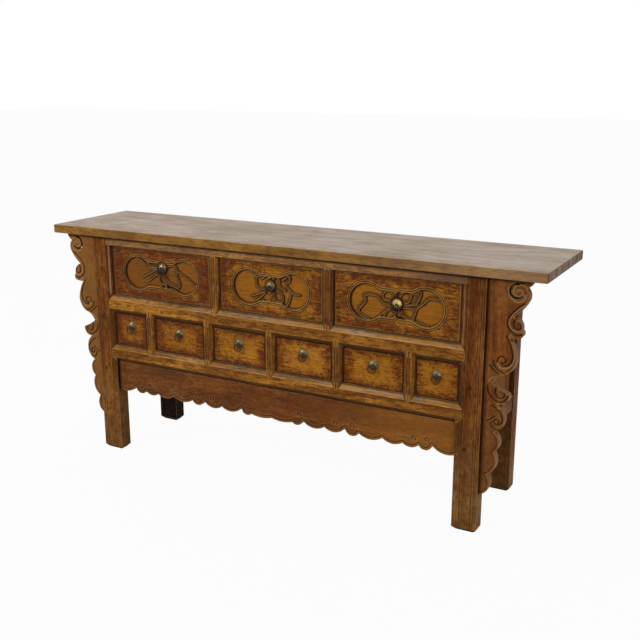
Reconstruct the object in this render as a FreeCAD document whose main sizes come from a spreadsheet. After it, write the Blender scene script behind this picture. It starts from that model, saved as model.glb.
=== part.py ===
import FreeCAD, Part
import math
import os
import re

import Sketcher
from FreeCAD import Rotation, Vector

# Altar coffer table: a plank top over three carved drawers and six small ones.
# Lengths are millimetres. X runs along the table, -Y is its front and Z is up.
# The origin is on the floor under the middle of the top.

SIZE_ROWS = (
    ("top_length", 1890, "top board, end to end"),
    ("top_depth", 422, "top board, front to back"),
    ("table_height", 870, "floor to the top face"),
    ("top_thickness", 31, "top board"),
    ("top_corner", 7, "rounding of the board's four corners"),
    ("top_round", 4, "rounding of the board's long edges"),
    ("end_overhang", 184, "top board past the legs' outer faces"),
    ("front_overhang", 11, "top board past the legs' front and back faces"),
    ("leg_width", 82, "leg, along the table"),
    ("leg_depth", 51, "leg, front to back"),
    ("leg_tenon", 18, "leg tenon let up into the top board"),
    ("tenon_shoulder", 14, "leg faces to the sides of its top tenon"),
    ("foot_chamfer", 12, "worn bevel round each foot"),
    ("bead_radius", 1.7, "round grooves that edge the beads"),
    ("outer_bead", 12, "leg outer edge to its first groove"),
    ("bead_gap", 8, "first groove to the second"),
    ("inner_bead", 4, "bevel beside a drawer to the leg's third groove"),
    ("stile_bead", 5, "upright's middle to each of its grooves"),
    ("bevel_depth", 12, "front face back to the drawer fronts"),
    ("leg_bevel", 20, "bevel beside a drawer on the leg"),
    ("stile_bevel", 12, "bevel beside a drawer on an upright"),
    ("ledge_bevel", 20, "bevel under a drawer, on the rail below"),
    ("head_bevel", 17, "bevel over a small drawer"),
    ("top_bevel", 3, "bevel over a large drawer"),
    ("skirt_bevel", 16, "bevel over the apron"),
    ("rail_point", 4, "mitred points of the rails let into the legs"),
    ("stile_point", 7, "mitred points of the uprights let into the rails"),
    ("top_rail_height", 31, "rail under the top board"),
    ("upper_opening", 184, "height of the three large openings"),
    ("mid_rail_height", 71, "rail between the two rows"),
    ("lower_opening", 122, "height of the six small openings"),
    ("lower_rail_height", 67, "rail under the small drawers"),
    ("rail_depth", 46, "front rails, front to back"),
    ("tenon_length", 30, "rail tenons let into the legs"),
    ("tenon_thickness", 14, "rail tenons, front to back"),
    ("tenon_inset", 7, "rail tenons, in from the rail's top and bottom"),
    ("stile_width", 45, "upright between two drawers, with its bevels"),
    ("stile_depth", 38, "upright, front to back"),
    ("stile_tenon", 12, "upright's tenons let into the rails"),
    ("upper_stile_share", 0.33063, "share of the way out to a leg where the upper uprights stand"),
    ("lower_bay_share", 0.38071, "spacing of the lower uprights, as a share of the same"),
    ("apron_height", 117, "carved apron, rail to its lowest lobes"),
    ("apron_thickness", 22, "carved apron"),
    ("apron_recess", 10, "leg front face back to the apron"),
    ("wing_reach", 136, "carved wing, out from the leg"),
    ("wing_drop", 702, "carved wing, down from the top board"),
    ("wing_thickness", 30, "carved wing"),
    ("wing_recess", 11, "leg front face back to the wing"),
    ("crescent_radius", 25, "outer edge of the crescent pierced in the wing"),
    ("crescent_width", 7, "the pierced crescent, across"),
    ("side_rail_thickness", 30, "rails at the two ends"),
    ("side_rail_recess", 3, "leg outer face in to the end rails"),
    ("side_rail_drop", 2, "lower front rail down to the end and back rails"),
    ("side_rail_height", 52, "end rails and lower back rail"),
    ("panel_thickness", 14, "end panels"),
    ("panel_recess", 16, "leg outer face in to the end panels"),
    ("panel_tongue", 8, "panels let into legs and rails"),
    ("back_rail_thickness", 26, "rails across the back"),
    ("back_rail_recess", 3, "leg back face in to the back rails"),
    ("back_panel_thickness", 10, "back panel"),
    ("back_panel_recess", 11, "leg back face in to the back panel"),
    ("board_thickness", 15, "boards that the drawers slide on"),
    ("guide_height", 26, "strips that keep the drawers straight"),
    ("front_gap", 1.5, "gap round each drawer front"),
    ("front_thickness", 18, "drawer fronts"),
    ("front_round", 2, "rounding of the drawer fronts' edges"),
    ("slide_gap", 0.3, "drawer sides over their board"),
    ("side_thickness", 11, "drawer sides and backs"),
    ("side_drop", 14, "drawer sides below the front's top edge"),
    ("bottom_thickness", 7, "drawer bottoms"),
    ("bottom_rise", 6, "drawer bottom above the sides' lower edge"),
    ("back_gap", 24, "drawer box to the back panel"),
    ("cartouche_margin", 44, "drawer front's end to the cartouche"),
    ("lobe_radius", 70, "round ends of the cartouche, over its rim"),
    ("waist_half", 53, "cartouche half height at its waist, over its rim"),
    ("rim_width", 10, "raised rim round the cartouche"),
    ("ground_depth", 4, "sunk ground of the cartouche"),
    ("line_width", 2.5, "line cut outside the rim"),
    ("line_depth", 1.5, "depth of the line outside the rim"),
    ("seat_margin", 3, "carved knot left standing round a pull's boss"),
    ("boss_radius", 17, "domed boss of a pull"),
    ("boss_height", 9, "domed boss, out from the drawer front"),
    ("ring_radius", 13.5, "ring's centre to the middle of its wire"),
    ("ring_wire", 2, "radius of the ring's wire"),
    ("ring_standoff", 0.7, "ring to the boss behind it"),
    ("eye_wire", 1.3, "radius of the split pin's eye wire"),
    ("eye_clearance", 0.4, "ring's wire inside the eye"),
    ("pin_radius", 2, "split pin's two legs together"),
    ("pin_clearance", 0.1, "split pin in its hole"),
    ("clinch_length", 13, "pin legs bent over inside the drawer"),
    ("clinch_thickness", 1.6, "pin legs where they are bent flat"),
    ("small_pull_rise", 17, "small drawer's middle up to its pull"),
    ("left_pull_rise", 29, "large left drawer's middle up to its pull"),
    ("centre_pull_rise", 12, "large centre drawer's middle up to its pull"),
    ("right_pull_rise", 4, "large right drawer's middle up to its pull"),
    ("left_pull_shift", 10, "large left drawer's middle across to its pull"),
    ("centre_pull_shift", 2, "large centre drawer's middle across to its pull"),
    ("right_pull_shift", 4, "large right drawer's middle across to its pull"),
    ("cut_overrun", 5, "how far a cut runs past a face"),
)

PLACE_ROWS = (
    ("underside", "table_height - top_thickness"),
    ("front_face", "-top_depth / 2 + front_overhang"),
    ("back_face", "-front_face"),
    ("leg_outer", "top_length / 2 - end_overhang"),
    ("leg_inner", "leg_outer - leg_width"),
    ("upper_stile_place", "leg_inner * upper_stile_share"),
    ("lower_bay", "leg_inner * lower_bay_share"),
    ("leg_back", "front_face + leg_depth"),
    ("top_rail_foot", "underside - top_rail_height"),
    ("mid_rail_head", "top_rail_foot - upper_opening"),
    ("mid_rail_foot", "mid_rail_head - mid_rail_height"),
    ("lower_rail_head", "mid_rail_foot - lower_opening"),
    ("lower_rail_foot", "lower_rail_head - lower_rail_height"),
    ("stile_half", "stile_width / 2"),
    ("rail_back", "front_face + rail_depth"),
    ("stile_back", "front_face + stile_depth"),
    ("tenon_front", "front_face + (leg_depth - tenon_thickness) / 2"),
    ("tenon_back", "tenon_front + tenon_thickness"),
    ("drawer_face", "front_face + bevel_depth"),
    ("drawer_face_back", "drawer_face + front_thickness"),
    ("apron_face", "front_face + apron_recess"),
    ("wing_face", "front_face + wing_recess"),
    ("panel_face", "leg_outer - panel_recess"),
    ("panel_inside", "panel_face - panel_thickness"),
    ("side_rail_face", "leg_outer - side_rail_recess"),
    ("side_rail_inside", "side_rail_face - side_rail_thickness"),
    ("side_rail_head", "lower_rail_foot - side_rail_drop"),
    ("side_rail_foot", "side_rail_head - side_rail_height"),
    ("back_rail_face", "back_face - back_rail_recess"),
    ("back_rail_inside", "back_rail_face - back_rail_thickness"),
    ("back_panel_face", "back_face - back_panel_recess"),
    ("back_panel_inside", "back_panel_face - back_panel_thickness"),
    ("box_back", "back_rail_inside - back_gap"),
    ("ring_pivot", "drawer_face - boss_height - ring_standoff - ring_wire"),
    ("eye_radius", "ring_wire + eye_clearance + eye_wire"),
    ("boss_sphere", "(boss_radius * boss_radius + boss_height * boss_height) / (2 * boss_height)"),
)

# The wing's outer edge from the top board down: each row is one arc's middle and end.
# First number: share of the wing's reach out from the leg. Second: share of its drop.
wing_outline_shares = (
    ((0.96, 0.021), (0.855, 0.037)),
    ((0.93, 0.066), (0.89, 0.10)),
    ((0.77, 0.133), (0.60, 0.163)),
    ((0.75, 0.182), (0.80, 0.22)),
    ((0.83, 0.241), (0.70, 0.257)),
    ((0.60, 0.260), (0.53, 0.256)),
    ((0.66, 0.305), (0.715, 0.348)),
    ((0.645, 0.396), (0.50, 0.423)),
    ((0.31, 0.44), (0.20, 0.47)),
    ((0.39, 0.495), (0.59, 0.512)),
    ((0.53, 0.549), (0.34, 0.56)),
    ((0.475, 0.59), (0.515, 0.623)),
    ((0.455, 0.669), (0.30, 0.694)),
    ((0.425, 0.74), (0.31, 0.788)),
    ((0.375, 0.836), (0.17, 0.90)),
    ((0.24, 0.945), (0.18, 0.98)),
    ((0.10, 0.993), (0.0, 1.0)),
)
crescent_out_share = 0.65
crescent_down_share = 0.05
crescent_start = math.radians(82)
crescent_end = math.radians(322)

# The apron's lower edge from the leg to the middle: each row one arc's middle and end.
# First number: share of half the apron's length. Second: share of its height cut away.
apron_outline_shares = (
    ((0.954, 0.0), (0.885, 0.187)),
    ((0.856, 0.016), (0.817, 0.122)),
    ((0.776, 0.016), (0.733, 0.098)),
    ((0.675, 0.008), (0.627, 0.122)),
    ((0.564, 0.0), (0.50, 0.122)),
    ((0.461, 0.0), (0.424, 0.187)),
    ((0.362, 0.0), (0.309, 0.106)),
    ((0.25, 0.0), (0.184, 0.179)),
    ((0.156, 0.0), (0.124, 0.057)),
    ((0.06, 0.0), (0.0, 0.057)),
)
apron_end_share = 0.041

# How far from parallel an edge may be and still run along an axis.
parallel_tolerance = 0.000001

ALONG_X = Vector(1, 0, 0)
ALONG_Y = Vector(0, 1, 0)
ALONG_Z = Vector(0, 0, 1)
UPRIGHT_SKETCH = Rotation(ALONG_X, 90)

doc = FreeCAD.newDocument("altar_table")
sizes = doc.addObject("Spreadsheet::Sheet", "Sizes")
places = doc.addObject("Spreadsheet::Sheet", "Places")
size_names = {name for name, value, meaning in SIZE_ROWS}
place_names = {name for name, formula in PLACE_ROWS}
word_pattern = re.compile("[a-z][a-z_0-9]*")
kept = []


def bound(formula):
    """A formula with each size and place pointed at its sheet."""
    def point(match):
        word = match.group(0)
        if word in size_names:
            return "Sizes." + word
        if word in place_names:
            return "Places." + word
        return word
    return word_pattern.sub(point, formula)


def fill_sheets():
    """Driving sizes as plain numbers, and the places worked out from them."""
    for row, (name, value, meaning) in enumerate(SIZE_ROWS, start=1):
        sizes.set("A%d" % row, meaning)
        sizes.set("B%d" % row, str(value))
        sizes.setAlias("B%d" % row, name)
    doc.recompute()
    for row, (name, formula) in enumerate(PLACE_ROWS, start=1):
        places.set("A%d" % row, name.replace("_", " "))
        places.setAlias("B%d" % row, name)
        places.set("B%d" % row, "=" + bound(formula).replace("Places.", ""))
        doc.recompute()


def size(name):
    """The present value of a size or a place."""
    sheet = sizes if name in size_names else places
    return float(sheet.get(name))


def bind(item, **formulas):
    """Tie an object's properties to the sheets."""
    for name, formula in formulas.items():
        item.setExpression(name, bound(formula))
    return item


def place(item, x, y, z):
    """Tie an object's position to the sheets."""
    for axis, formula in (("x", x), ("y", y), ("z", z)):
        item.setExpression("Placement.Base." + axis, bound(formula))
    return item


def block(name, x, y, z):
    """A block between two values along each axis."""
    item = doc.addObject("Part::Box", name)
    spans = ["(%s) - (%s)" % (high, low) for low, high in (x, y, z)]
    bind(item, Length=spans[0], Width=spans[1], Height=spans[2])
    return place(item, x[0], y[0], z[0])


def rod(name, axis, radius, length, x, y, z):
    """A cylinder that starts at a point and runs along an axis."""
    item = doc.addObject("Part::Cylinder", name)
    bind(item, Radius=radius, Height=length)
    item.Placement.Rotation = Rotation(ALONG_Z, axis)
    return place(item, x, y, z)


def loop(name, axis, radius, wire, x, y, z):
    """A closed ring of round wire about an axis."""
    item = doc.addObject("Part::Torus", name)
    bind(item, Radius1=radius, Radius2=wire)
    item.Placement.Rotation = Rotation(ALONG_Z, axis)
    return place(item, x, y, z)


def fuse(name, items):
    item = doc.addObject("Part::MultiFuse", name)
    item.Shapes = items
    return item


def cut(name, base, tools):
    item = doc.addObject("Part::Cut", name)
    item.Base = base
    item.Tool = tools[0] if len(tools) == 1 else fuse(name + "_tools", tools)
    return item


def cut_in_turn(name, base, tools):
    """Cut with each tool by itself, where the tools' faces meet."""
    for number, tool in enumerate(tools, start=1):
        base = cut("%s_cut_%d" % (name, number), base, [tool])
    return base


def common(name, items):
    item = doc.addObject("Part::MultiCommon", name)
    item.Shapes = items
    return item


def group(name, items):
    """Separate solids that share one node."""
    item = doc.addObject("Part::Compound", name)
    item.Links = items
    return item


def mirror(name, source):
    """The same piece on the other side of the table's middle."""
    item = doc.addObject("Part::Mirroring", name)
    item.Source = source
    item.Normal = ALONG_X
    return item


def keep(item, label):
    """Hand a piece in under its node's name."""
    item.Label = label
    kept.append(item)
    return item


def draw_polygon(sketch, corners):
    """A closed run of lines with every corner's place tied to the sheets."""
    count = len(corners)
    guesses = [Vector(index, index * index, 0) for index in range(count)]
    for index in range(count):
        sketch.addGeometry(Part.LineSegment(guesses[index], guesses[(index + 1) % count]), False)
    for index in range(count):
        following = (index + 1) % count
        sketch.addConstraint(Sketcher.Constraint("Coincident", index, 2, following, 1))
    for index, corner in enumerate(corners):
        for kind, formula in zip(("DistanceX", "DistanceY"), corner):
            number = sketch.addConstraint(Sketcher.Constraint(kind, -1, 1, index, 1, 1.0))
            sketch.setExpression("Constraints[%d]" % number, bound(formula))


def draw_outline(sketch, start, steps):
    """A run of lines and three point arcs, in the sketch's own plane."""
    here = start
    for middle, end in steps:
        if middle is None:
            sketch.addGeometry(Part.LineSegment(here, end), False)
        else:
            sketch.addGeometry(Part.Arc(here, middle, end), False)
        here = end


def upright_sketch(name, y):
    """A sketch in a plane that faces the front, with its X along the table."""
    sketch = doc.addObject("Sketcher::SketchObject", name)
    sketch.Placement.Rotation = UPRIGHT_SKETCH
    return place(sketch, "0", y, "0")


def thicken(name, sketch, thickness):
    """The board that a sketch outlines, thickened towards the back."""
    item = doc.addObject("Part::Extrusion", name)
    item.Base = sketch
    item.DirMode = "Custom"
    item.Dir = ALONG_Y
    item.Solid = True
    item.FaceMakerClass = "Part::FaceMakerBullseye"
    return bind(item, LengthFwd=thickness)


def origin_plane(body, role):
    return next(item for item in body.Origin.OriginFeatures if item.Role == role)


def padded_board(name, role, x, y, thickness, position):
    """A body whose pad is a rectangle between two values each way."""
    body = doc.addObject("PartDesign::Body", name)
    sketch = body.newObject("Sketcher::SketchObject", name + "_sketch")
    sketch.AttachmentSupport = [(origin_plane(body, role), "")]
    sketch.MapMode = "FlatFace"
    draw_polygon(sketch, [(x[0], y[0]), (x[1], y[0]), (x[1], y[1]), (x[0], y[1])])
    pad = body.newObject("PartDesign::Pad", name + "_pad")
    pad.Profile = sketch
    bind(pad, Length=thickness)
    place(body, *position)
    doc.recompute()
    return body


def round_edges(body, name, radius, wanted):
    """Round the edges of a body whose middles pass a test."""
    base = body.Tip
    edges = []
    for number, edge in enumerate(base.Shape.Edges, start=1):
        if wanted(edge):
            edges.append("Edge%d" % number)
    fillet = body.newObject("PartDesign::Fillet", name)
    fillet.Base = (base, edges)
    bind(fillet, Radius=radius)
    doc.recompute()


def runs_along(edge, axis):
    """Whether an edge is straight and lies along an axis."""
    if edge.Curve.TypeId != "Part::GeomLine":
        return False
    ends = [vertex.Point for vertex in edge.Vertexes]
    return abs(abs((ends[1] - ends[0]).normalize().dot(axis)) - 1) < parallel_tolerance


def bay_edges(marks):
    """Left and right of each opening between uprights, and the bevel on each side."""
    last = len(marks) - 2
    bays = []
    for index in range(last + 1):
        left = marks[index] if index == 0 else marks[index] + " + stile_half"
        right = marks[index + 1] if index == last else marks[index + 1] + " - stile_half"
        left_bevel = "leg_bevel" if index == 0 else "stile_bevel"
        right_bevel = "leg_bevel" if index == last else "stile_bevel"
        bays.append((left, right, left_bevel, right_bevel))
    return bays


def bevelled_opening(name, bay, foot, head, foot_bevel, head_bevel):
    """The space in front of a drawer, wider at the front than at the drawer."""
    left, right, left_bevel, right_bevel = bay
    item = doc.addObject("Part::Wedge", name)
    return bind(
        item,
        Ymin="front_face",
        Ymax="drawer_face",
        Xmin="%s - %s" % (left, left_bevel),
        Xmax="%s + %s" % (right, right_bevel),
        Zmin="%s - %s" % (foot, foot_bevel),
        Zmax="%s + %s" % (head, head_bevel),
        X2min=left,
        X2max=right,
        Z2min=foot,
        Z2max=head,
    )


def rail_blank(name, foot, head, foot_bevel, head_bevel, point):
    """A front rail with mitred, pointed ends and a tenon at each end."""
    middle = "(%s + %s + %s - %s) / 2" % (foot, foot_bevel, head, head_bevel)
    half = [
        ("leg_inner", foot),
        ("leg_inner + leg_bevel", "%s + %s" % (foot, foot_bevel)),
        ("leg_inner + leg_bevel + " + point, middle),
        ("leg_inner + leg_bevel", "%s - %s" % (head, head_bevel)),
        ("leg_inner", head),
    ]
    corners = half + [("-(%s)" % x, z) for x, z in reversed(half)]
    sketch = upright_sketch(name + "_outline", "front_face")
    draw_polygon(sketch, corners)
    front = thicken(name + "_face", sketch, "bevel_depth")
    span = ("-leg_inner", "leg_inner")
    body = block(name + "_body", span, ("drawer_face", "rail_back"), (foot, head))
    tenon = block(
        name + "_tenon",
        ("-leg_inner - tenon_length", "leg_inner + tenon_length"),
        ("tenon_front", "tenon_back"),
        (foot + " + tenon_inset", head + " - tenon_inset"),
    )
    return fuse(name + "_blank", [front, body, tenon])


def upright(name, centre, foot, head, foot_bevel, head_bevel, openings):
    """An upright between two drawers, beaded, with pointed ends and tenons."""
    half = [
        ("stile_half", foot),
        ("stile_half", head),
        ("stile_half - stile_bevel", "%s + %s" % (head, head_bevel)),
        ("0", "%s + %s + stile_point" % (head, head_bevel)),
    ]
    half.insert(0, ("stile_half - stile_bevel", "%s - %s" % (foot, foot_bevel)))
    half.insert(0, ("0", "%s - %s - stile_point" % (foot, foot_bevel)))
    right_side = [("%s + (%s)" % (centre, x), z) for x, z in half]
    left_side = [("%s - (%s)" % (centre, x), z) for x, z in reversed(half[1:-1])]
    sketch = upright_sketch(name + "_outline", "front_face")
    draw_polygon(sketch, right_side + left_side)
    front = thicken(name + "_face", sketch, "bevel_depth")
    span = (centre + " - stile_half", centre + " + stile_half")
    body = block(name + "_body", span, ("drawer_face", "stile_back"), (foot, head))
    tenon_span = (centre + " - tenon_thickness / 2", centre + " + tenon_thickness / 2")
    tenon_height = (foot + " - stile_tenon", head + " + stile_tenon")
    tenon = block(name + "_tenon", tenon_span, ("tenon_front", "tenon_back"), tenon_height)
    blank = fuse(name + "_blank", [front, body, tenon])
    grooves = [
        bead_groove("%s_groove_%d" % (name, number), "%s %s stile_bead" % (centre, sign))
        for number, sign in enumerate("+-")
    ]
    return cut(name, blank, openings + grooves)


def bead_groove(name, x):
    """A round groove down the front, as tall as the table."""
    return rod(name, ALONG_Z, "bead_radius", "table_height", x, "front_face", "0")


def make_openings():
    """The nine bevelled drawer openings and the bevel over the apron."""
    upper = [
        bevelled_opening(
            "upper_opening_%d" % number,
            bay,
            "mid_rail_head",
            "top_rail_foot",
            "ledge_bevel",
            "top_bevel",
        )
        for number, bay in enumerate(upper_bays, start=1)
    ]
    lower = [
        bevelled_opening(
            "lower_opening_%d" % number,
            bay,
            "lower_rail_head",
            "mid_rail_foot",
            "ledge_bevel",
            "head_bevel",
        )
        for number, bay in enumerate(lower_bays, start=1)
    ]
    apron_bay = ("-leg_inner", "leg_inner", "0", "0")
    skirt = bevelled_opening(
        "apron_opening", apron_bay, "0", "lower_rail_foot", "0", "skirt_bevel"
    )
    return upper, lower, skirt


def make_front_frame(upper, lower, skirt):
    """Three rails and the uprights that stand between them."""
    upper_rows = ("mid_rail_head", "top_rail_foot", "ledge_bevel", "top_bevel")
    lower_rows = ("lower_rail_head", "mid_rail_foot", "ledge_bevel", "head_bevel")
    upper_stiles = [
        upright("upper_stile_%d" % number, mark, *upper_rows, upper[number - 1:number + 1])
        for number, mark in enumerate(upper_marks[1:-1], start=1)
    ]
    lower_stiles = [
        upright("lower_stile_%d" % number, mark, *lower_rows, lower[number - 1:number + 1])
        for number, mark in enumerate(lower_marks[1:-1], start=1)
    ]
    keep(group("upper_stile_group", upper_stiles), "upper_stiles")
    keep(group("lower_stile_group", lower_stiles), "lower_stiles")
    top_blank = rail_blank("top_rail", "top_rail_foot", "underside", "top_bevel", "0", "0")
    mid_blank = rail_blank(
        "mid_rail", "mid_rail_foot", "mid_rail_head", "head_bevel", "ledge_bevel", "rail_point"
    )
    low_blank = rail_blank(
        "low_rail", "lower_rail_foot", "lower_rail_head", "skirt_bevel", "ledge_bevel", "rail_point"
    )
    openings = upper + lower
    return [
        keep(cut("top_rail", top_blank, upper + upper_stiles), "top_rail_front"),
        keep(cut("mid_rail", mid_blank, openings + upper_stiles + lower_stiles), "mid_rail_front"),
        keep(cut("low_rail", low_blank, lower + [skirt] + lower_stiles), "lower_rail_front"),
    ]


def leg_blank(name, y):
    """A square leg with a worn foot and a tenon on its head."""
    post = block(name + "_post", ("leg_inner", "leg_outer"), y, ("0", "underside"))
    doc.recompute()
    foot = doc.addObject("Part::Chamfer", name + "_foot")
    foot.Base = post
    chamfer = size("foot_chamfer")
    foot.Edges = [
        (number, chamfer, chamfer)
        for number, edge in enumerate(post.Shape.Edges, start=1)
        if edge.BoundBox.ZMax < chamfer
    ]
    tenon = block(
        name + "_tenon",
        ("leg_inner + tenon_shoulder", "leg_outer - tenon_shoulder"),
        (y[0] + " + tenon_shoulder", y[1] + " - tenon_shoulder"),
        ("underside", "underside + leg_tenon"),
    )
    return fuse(name + "_blank", [foot, tenon]), tenon


def make_legs(rails, openings, side_pieces, back_pieces):
    """Four legs, the front pair beaded; each is cut to take what is let into it."""
    front_blank, front_tenon = leg_blank("front_leg", ("front_face", "leg_back"))
    back_blank, back_tenon = leg_blank("back_leg", ("-leg_back", "back_face"))
    grooves = [
        bead_groove("leg_groove_1", "leg_outer - outer_bead"),
        bead_groove("leg_groove_2", "leg_outer - outer_bead - bead_gap"),
        bead_groove("leg_groove_3", "leg_inner + leg_bevel + inner_bead"),
    ]
    front = cut_in_turn("front_leg", front_blank, rails + side_pieces + openings + grooves)
    back = cut_in_turn("back_leg", back_blank, side_pieces + back_pieces)
    keep(front, "leg_front_right")
    keep(mirror("front_leg_mirrored", front), "leg_front_left")
    keep(back, "leg_back_right")
    keep(mirror("back_leg_mirrored", back), "leg_back_left")
    blanks = [front_blank, back_blank]
    blanks += [mirror(blank.Name + "_mirrored", blank) for blank in (front_blank, back_blank)]
    tenons = [front_tenon, back_tenon]
    tenons += [mirror(tenon.Name + "_mirrored", tenon) for tenon in (front_tenon, back_tenon)]
    return blanks, tenons


def make_top(tenons):
    """The plank top, rounded and cut underneath for the legs' tenons."""
    body = padded_board(
        "top_plank",
        "XY_Plane",
        ("-top_length / 2", "top_length / 2"),
        ("-top_depth / 2", "top_depth / 2"),
        "top_thickness",
        ("0", "0", "underside"),
    )
    round_edges(body, "top_corners", "top_corner", lambda edge: runs_along(edge, ALONG_Z))
    round_edges(body, "top_edges", "top_round", lambda edge: runs_along(edge, ALONG_X))
    keep(cut("top_board_cut", body, tenons), "top_board")


def make_apron():
    """The board under the rail, with a scalloped lower edge alike on both sides."""
    half_length = size("leg_inner")
    height = size("apron_height")
    head = size("lower_rail_foot")
    foot = head - height

    def spot(shares, side):
        return Vector(side * shares[0] * half_length, foot + shares[1] * height, 0)

    right_side = [(spot(middle, 1), spot(end, 1)) for middle, end in apron_outline_shares]
    ends = [(1, apron_end_share)] + [end for middle, end in apron_outline_shares]
    left_side = []
    for index in reversed(range(len(apron_outline_shares))):
        middle = apron_outline_shares[index][0]
        left_side.append((spot(middle, -1), spot(ends[index], -1)))
    top_left = Vector(-half_length, head, 0)
    top_right = Vector(half_length, head, 0)
    start = spot((1, apron_end_share), 1)
    steps = right_side + left_side + [(None, top_left), (None, top_right), (None, start)]
    sketch = upright_sketch("apron_outline", "apron_face")
    draw_outline(sketch, start, steps)
    keep(thicken("apron_board", sketch, "apron_thickness"), "apron_front")


def make_wings():
    """Carved wings outside the front legs, scrolled and pierced near the top."""
    root = size("leg_outer")
    head = size("underside")
    reach = size("wing_reach")
    drop = size("wing_drop")

    def spot(shares):
        return Vector(root + shares[0] * reach, head - shares[1] * drop, 0)

    start = spot((1, 0))
    steps = [(spot(middle), spot(end)) for middle, end in wing_outline_shares]
    steps += [(None, spot((0, 0))), (None, start)]
    sketch = upright_sketch("wing_outline", "wing_face")
    draw_outline(sketch, start, steps)
    draw_crescent(sketch, spot((crescent_out_share, crescent_down_share)))
    right = thicken("wing_board", sketch, "wing_thickness")
    keep(right, "wing_right")
    keep(mirror("wing_mirrored", right), "wing_left")


def draw_crescent(sketch, centre):
    """A curved slot with round ends that sets a scroll free of the wing."""
    outer = size("crescent_radius")
    inner = outer - size("crescent_width")
    middle = (outer + inner) / 2
    half_turn = (crescent_start + crescent_end) / 2
    cap_turn = (outer - inner) / 2 / middle

    def spot(radius, angle):
        return centre + Vector(radius * math.cos(angle), radius * math.sin(angle), 0)

    start = spot(outer, crescent_start)
    steps = [
        (spot(outer, half_turn), spot(outer, crescent_end)),
        (spot(middle, crescent_end + cap_turn), spot(inner, crescent_end)),
        (spot(inner, half_turn), spot(inner, crescent_start)),
        (spot(middle, crescent_start - cap_turn), start),
    ]
    draw_outline(sketch, start, steps)


def make_ends():
    """A panel and a lower rail at each end, between the front and back legs."""
    panel = block(
        "end_panel",
        ("panel_inside", "panel_face"),
        ("leg_back - panel_tongue", "-leg_back + panel_tongue"),
        ("side_rail_head - panel_tongue", "underside"),
    )
    body = block(
        "end_rail_body",
        ("side_rail_inside", "side_rail_face"),
        ("leg_back", "-leg_back"),
        ("side_rail_foot", "side_rail_head"),
    )
    tenon = block(
        "end_rail_tenon",
        ("side_rail_inside + tenon_inset", "side_rail_face - tenon_inset"),
        ("leg_back - tenon_length / 2", "-leg_back + tenon_length / 2"),
        ("side_rail_foot + tenon_inset", "side_rail_head - tenon_inset - panel_tongue"),
    )
    rail = cut("end_rail", fuse("end_rail_blank", [body, tenon]), [panel])
    keep(panel, "side_panel_right")
    keep(mirror("end_panel_mirrored", panel), "side_panel_left")
    keep(rail, "side_rail_right")
    keep(mirror("end_rail_mirrored", rail), "side_rail_left")
    return [panel, rail]


def back_rail_blank(name, foot, head):
    """A rail across the back with a tenon at each end."""
    body = block(
        name + "_body",
        ("-leg_inner", "leg_inner"),
        ("back_rail_inside", "back_rail_face"),
        (foot, head),
    )
    tenon = block(
        name + "_tenon",
        ("-leg_inner - tenon_length", "leg_inner + tenon_length"),
        ("back_rail_inside + tenon_inset", "back_rail_face - tenon_inset"),
        (foot + " + tenon_inset", head + " - tenon_inset"),
    )
    return fuse(name + "_blank", [body, tenon])


def make_back():
    """A panel across the back, let into a rail above and a rail below."""
    panel = block(
        "back_board",
        ("-leg_inner - panel_tongue", "leg_inner + panel_tongue"),
        ("back_panel_inside", "back_panel_face"),
        ("side_rail_head - panel_tongue", "top_rail_foot + panel_tongue"),
    )
    upper = back_rail_blank("back_upper", "top_rail_foot", "underside")
    lower = back_rail_blank("back_lower", "side_rail_foot", "side_rail_head")
    upper_rail = cut("back_upper_rail", upper, [panel])
    lower_rail = cut("back_lower_rail", lower, [panel])
    keep(panel, "back_panel")
    keep(upper_rail, "back_rail_upper")
    keep(lower_rail, "back_rail_lower")
    return [panel, upper_rail, lower_rail]


def slide_board(name, head, leg_blanks):
    """A board level with the rail's top edge, notched round the legs."""
    board = block(
        name + "_plank",
        ("-panel_inside", "panel_inside"),
        ("rail_back", "back_panel_inside"),
        (head + " - board_thickness", head),
    )
    keep(cut(name + "_notched", board, leg_blanks), name)


def drawer_guides(name, marks, head):
    """Strips on the board behind each upright and beside each pair of legs."""
    height = (head, head + " + guide_height")
    strips = [
        block(
            "%s_%d" % (name, number),
            (mark + " - stile_half", mark + " + stile_half"),
            ("stile_back", "back_panel_inside"),
            height,
        )
        for number, mark in enumerate(marks[1:-1], start=1)
    ]
    depth = ("leg_back", "-leg_back")
    strips.append(block(name + "_right", ("leg_inner", "panel_inside"), depth, height))
    strips.append(block(name + "_left", ("-panel_inside", "-leg_inner"), depth, height))
    keep(group(name + "_group", strips), name)


def gourd(name, centre, middle, lobe_place, growth, depth):
    """The cartouche's outline, two lobes and a waist, sunk behind the drawer's face."""
    radius = "lobe_radius + (%s)" % growth
    reach = "%s + cut_overrun" % depth
    start = "drawer_face - cut_overrun"
    lobes = [
        rod("%s_lobe_%d" % (name, number), ALONG_Y, radius, reach, side, start, middle)
        for number, side in enumerate(
            ("%s - (%s)" % (centre, lobe_place), "%s + (%s)" % (centre, lobe_place)), start=1
        )
    ]
    waist = block(
        name + "_waist",
        ("%s - (%s)" % (centre, lobe_place), "%s + (%s)" % (centre, lobe_place)),
        (start, "drawer_face + " + depth),
        ("%s - waist_half - (%s)" % (middle, growth), "%s + waist_half + (%s)" % (middle, growth)),
    )
    return fuse(name, lobes + [waist])


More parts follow.
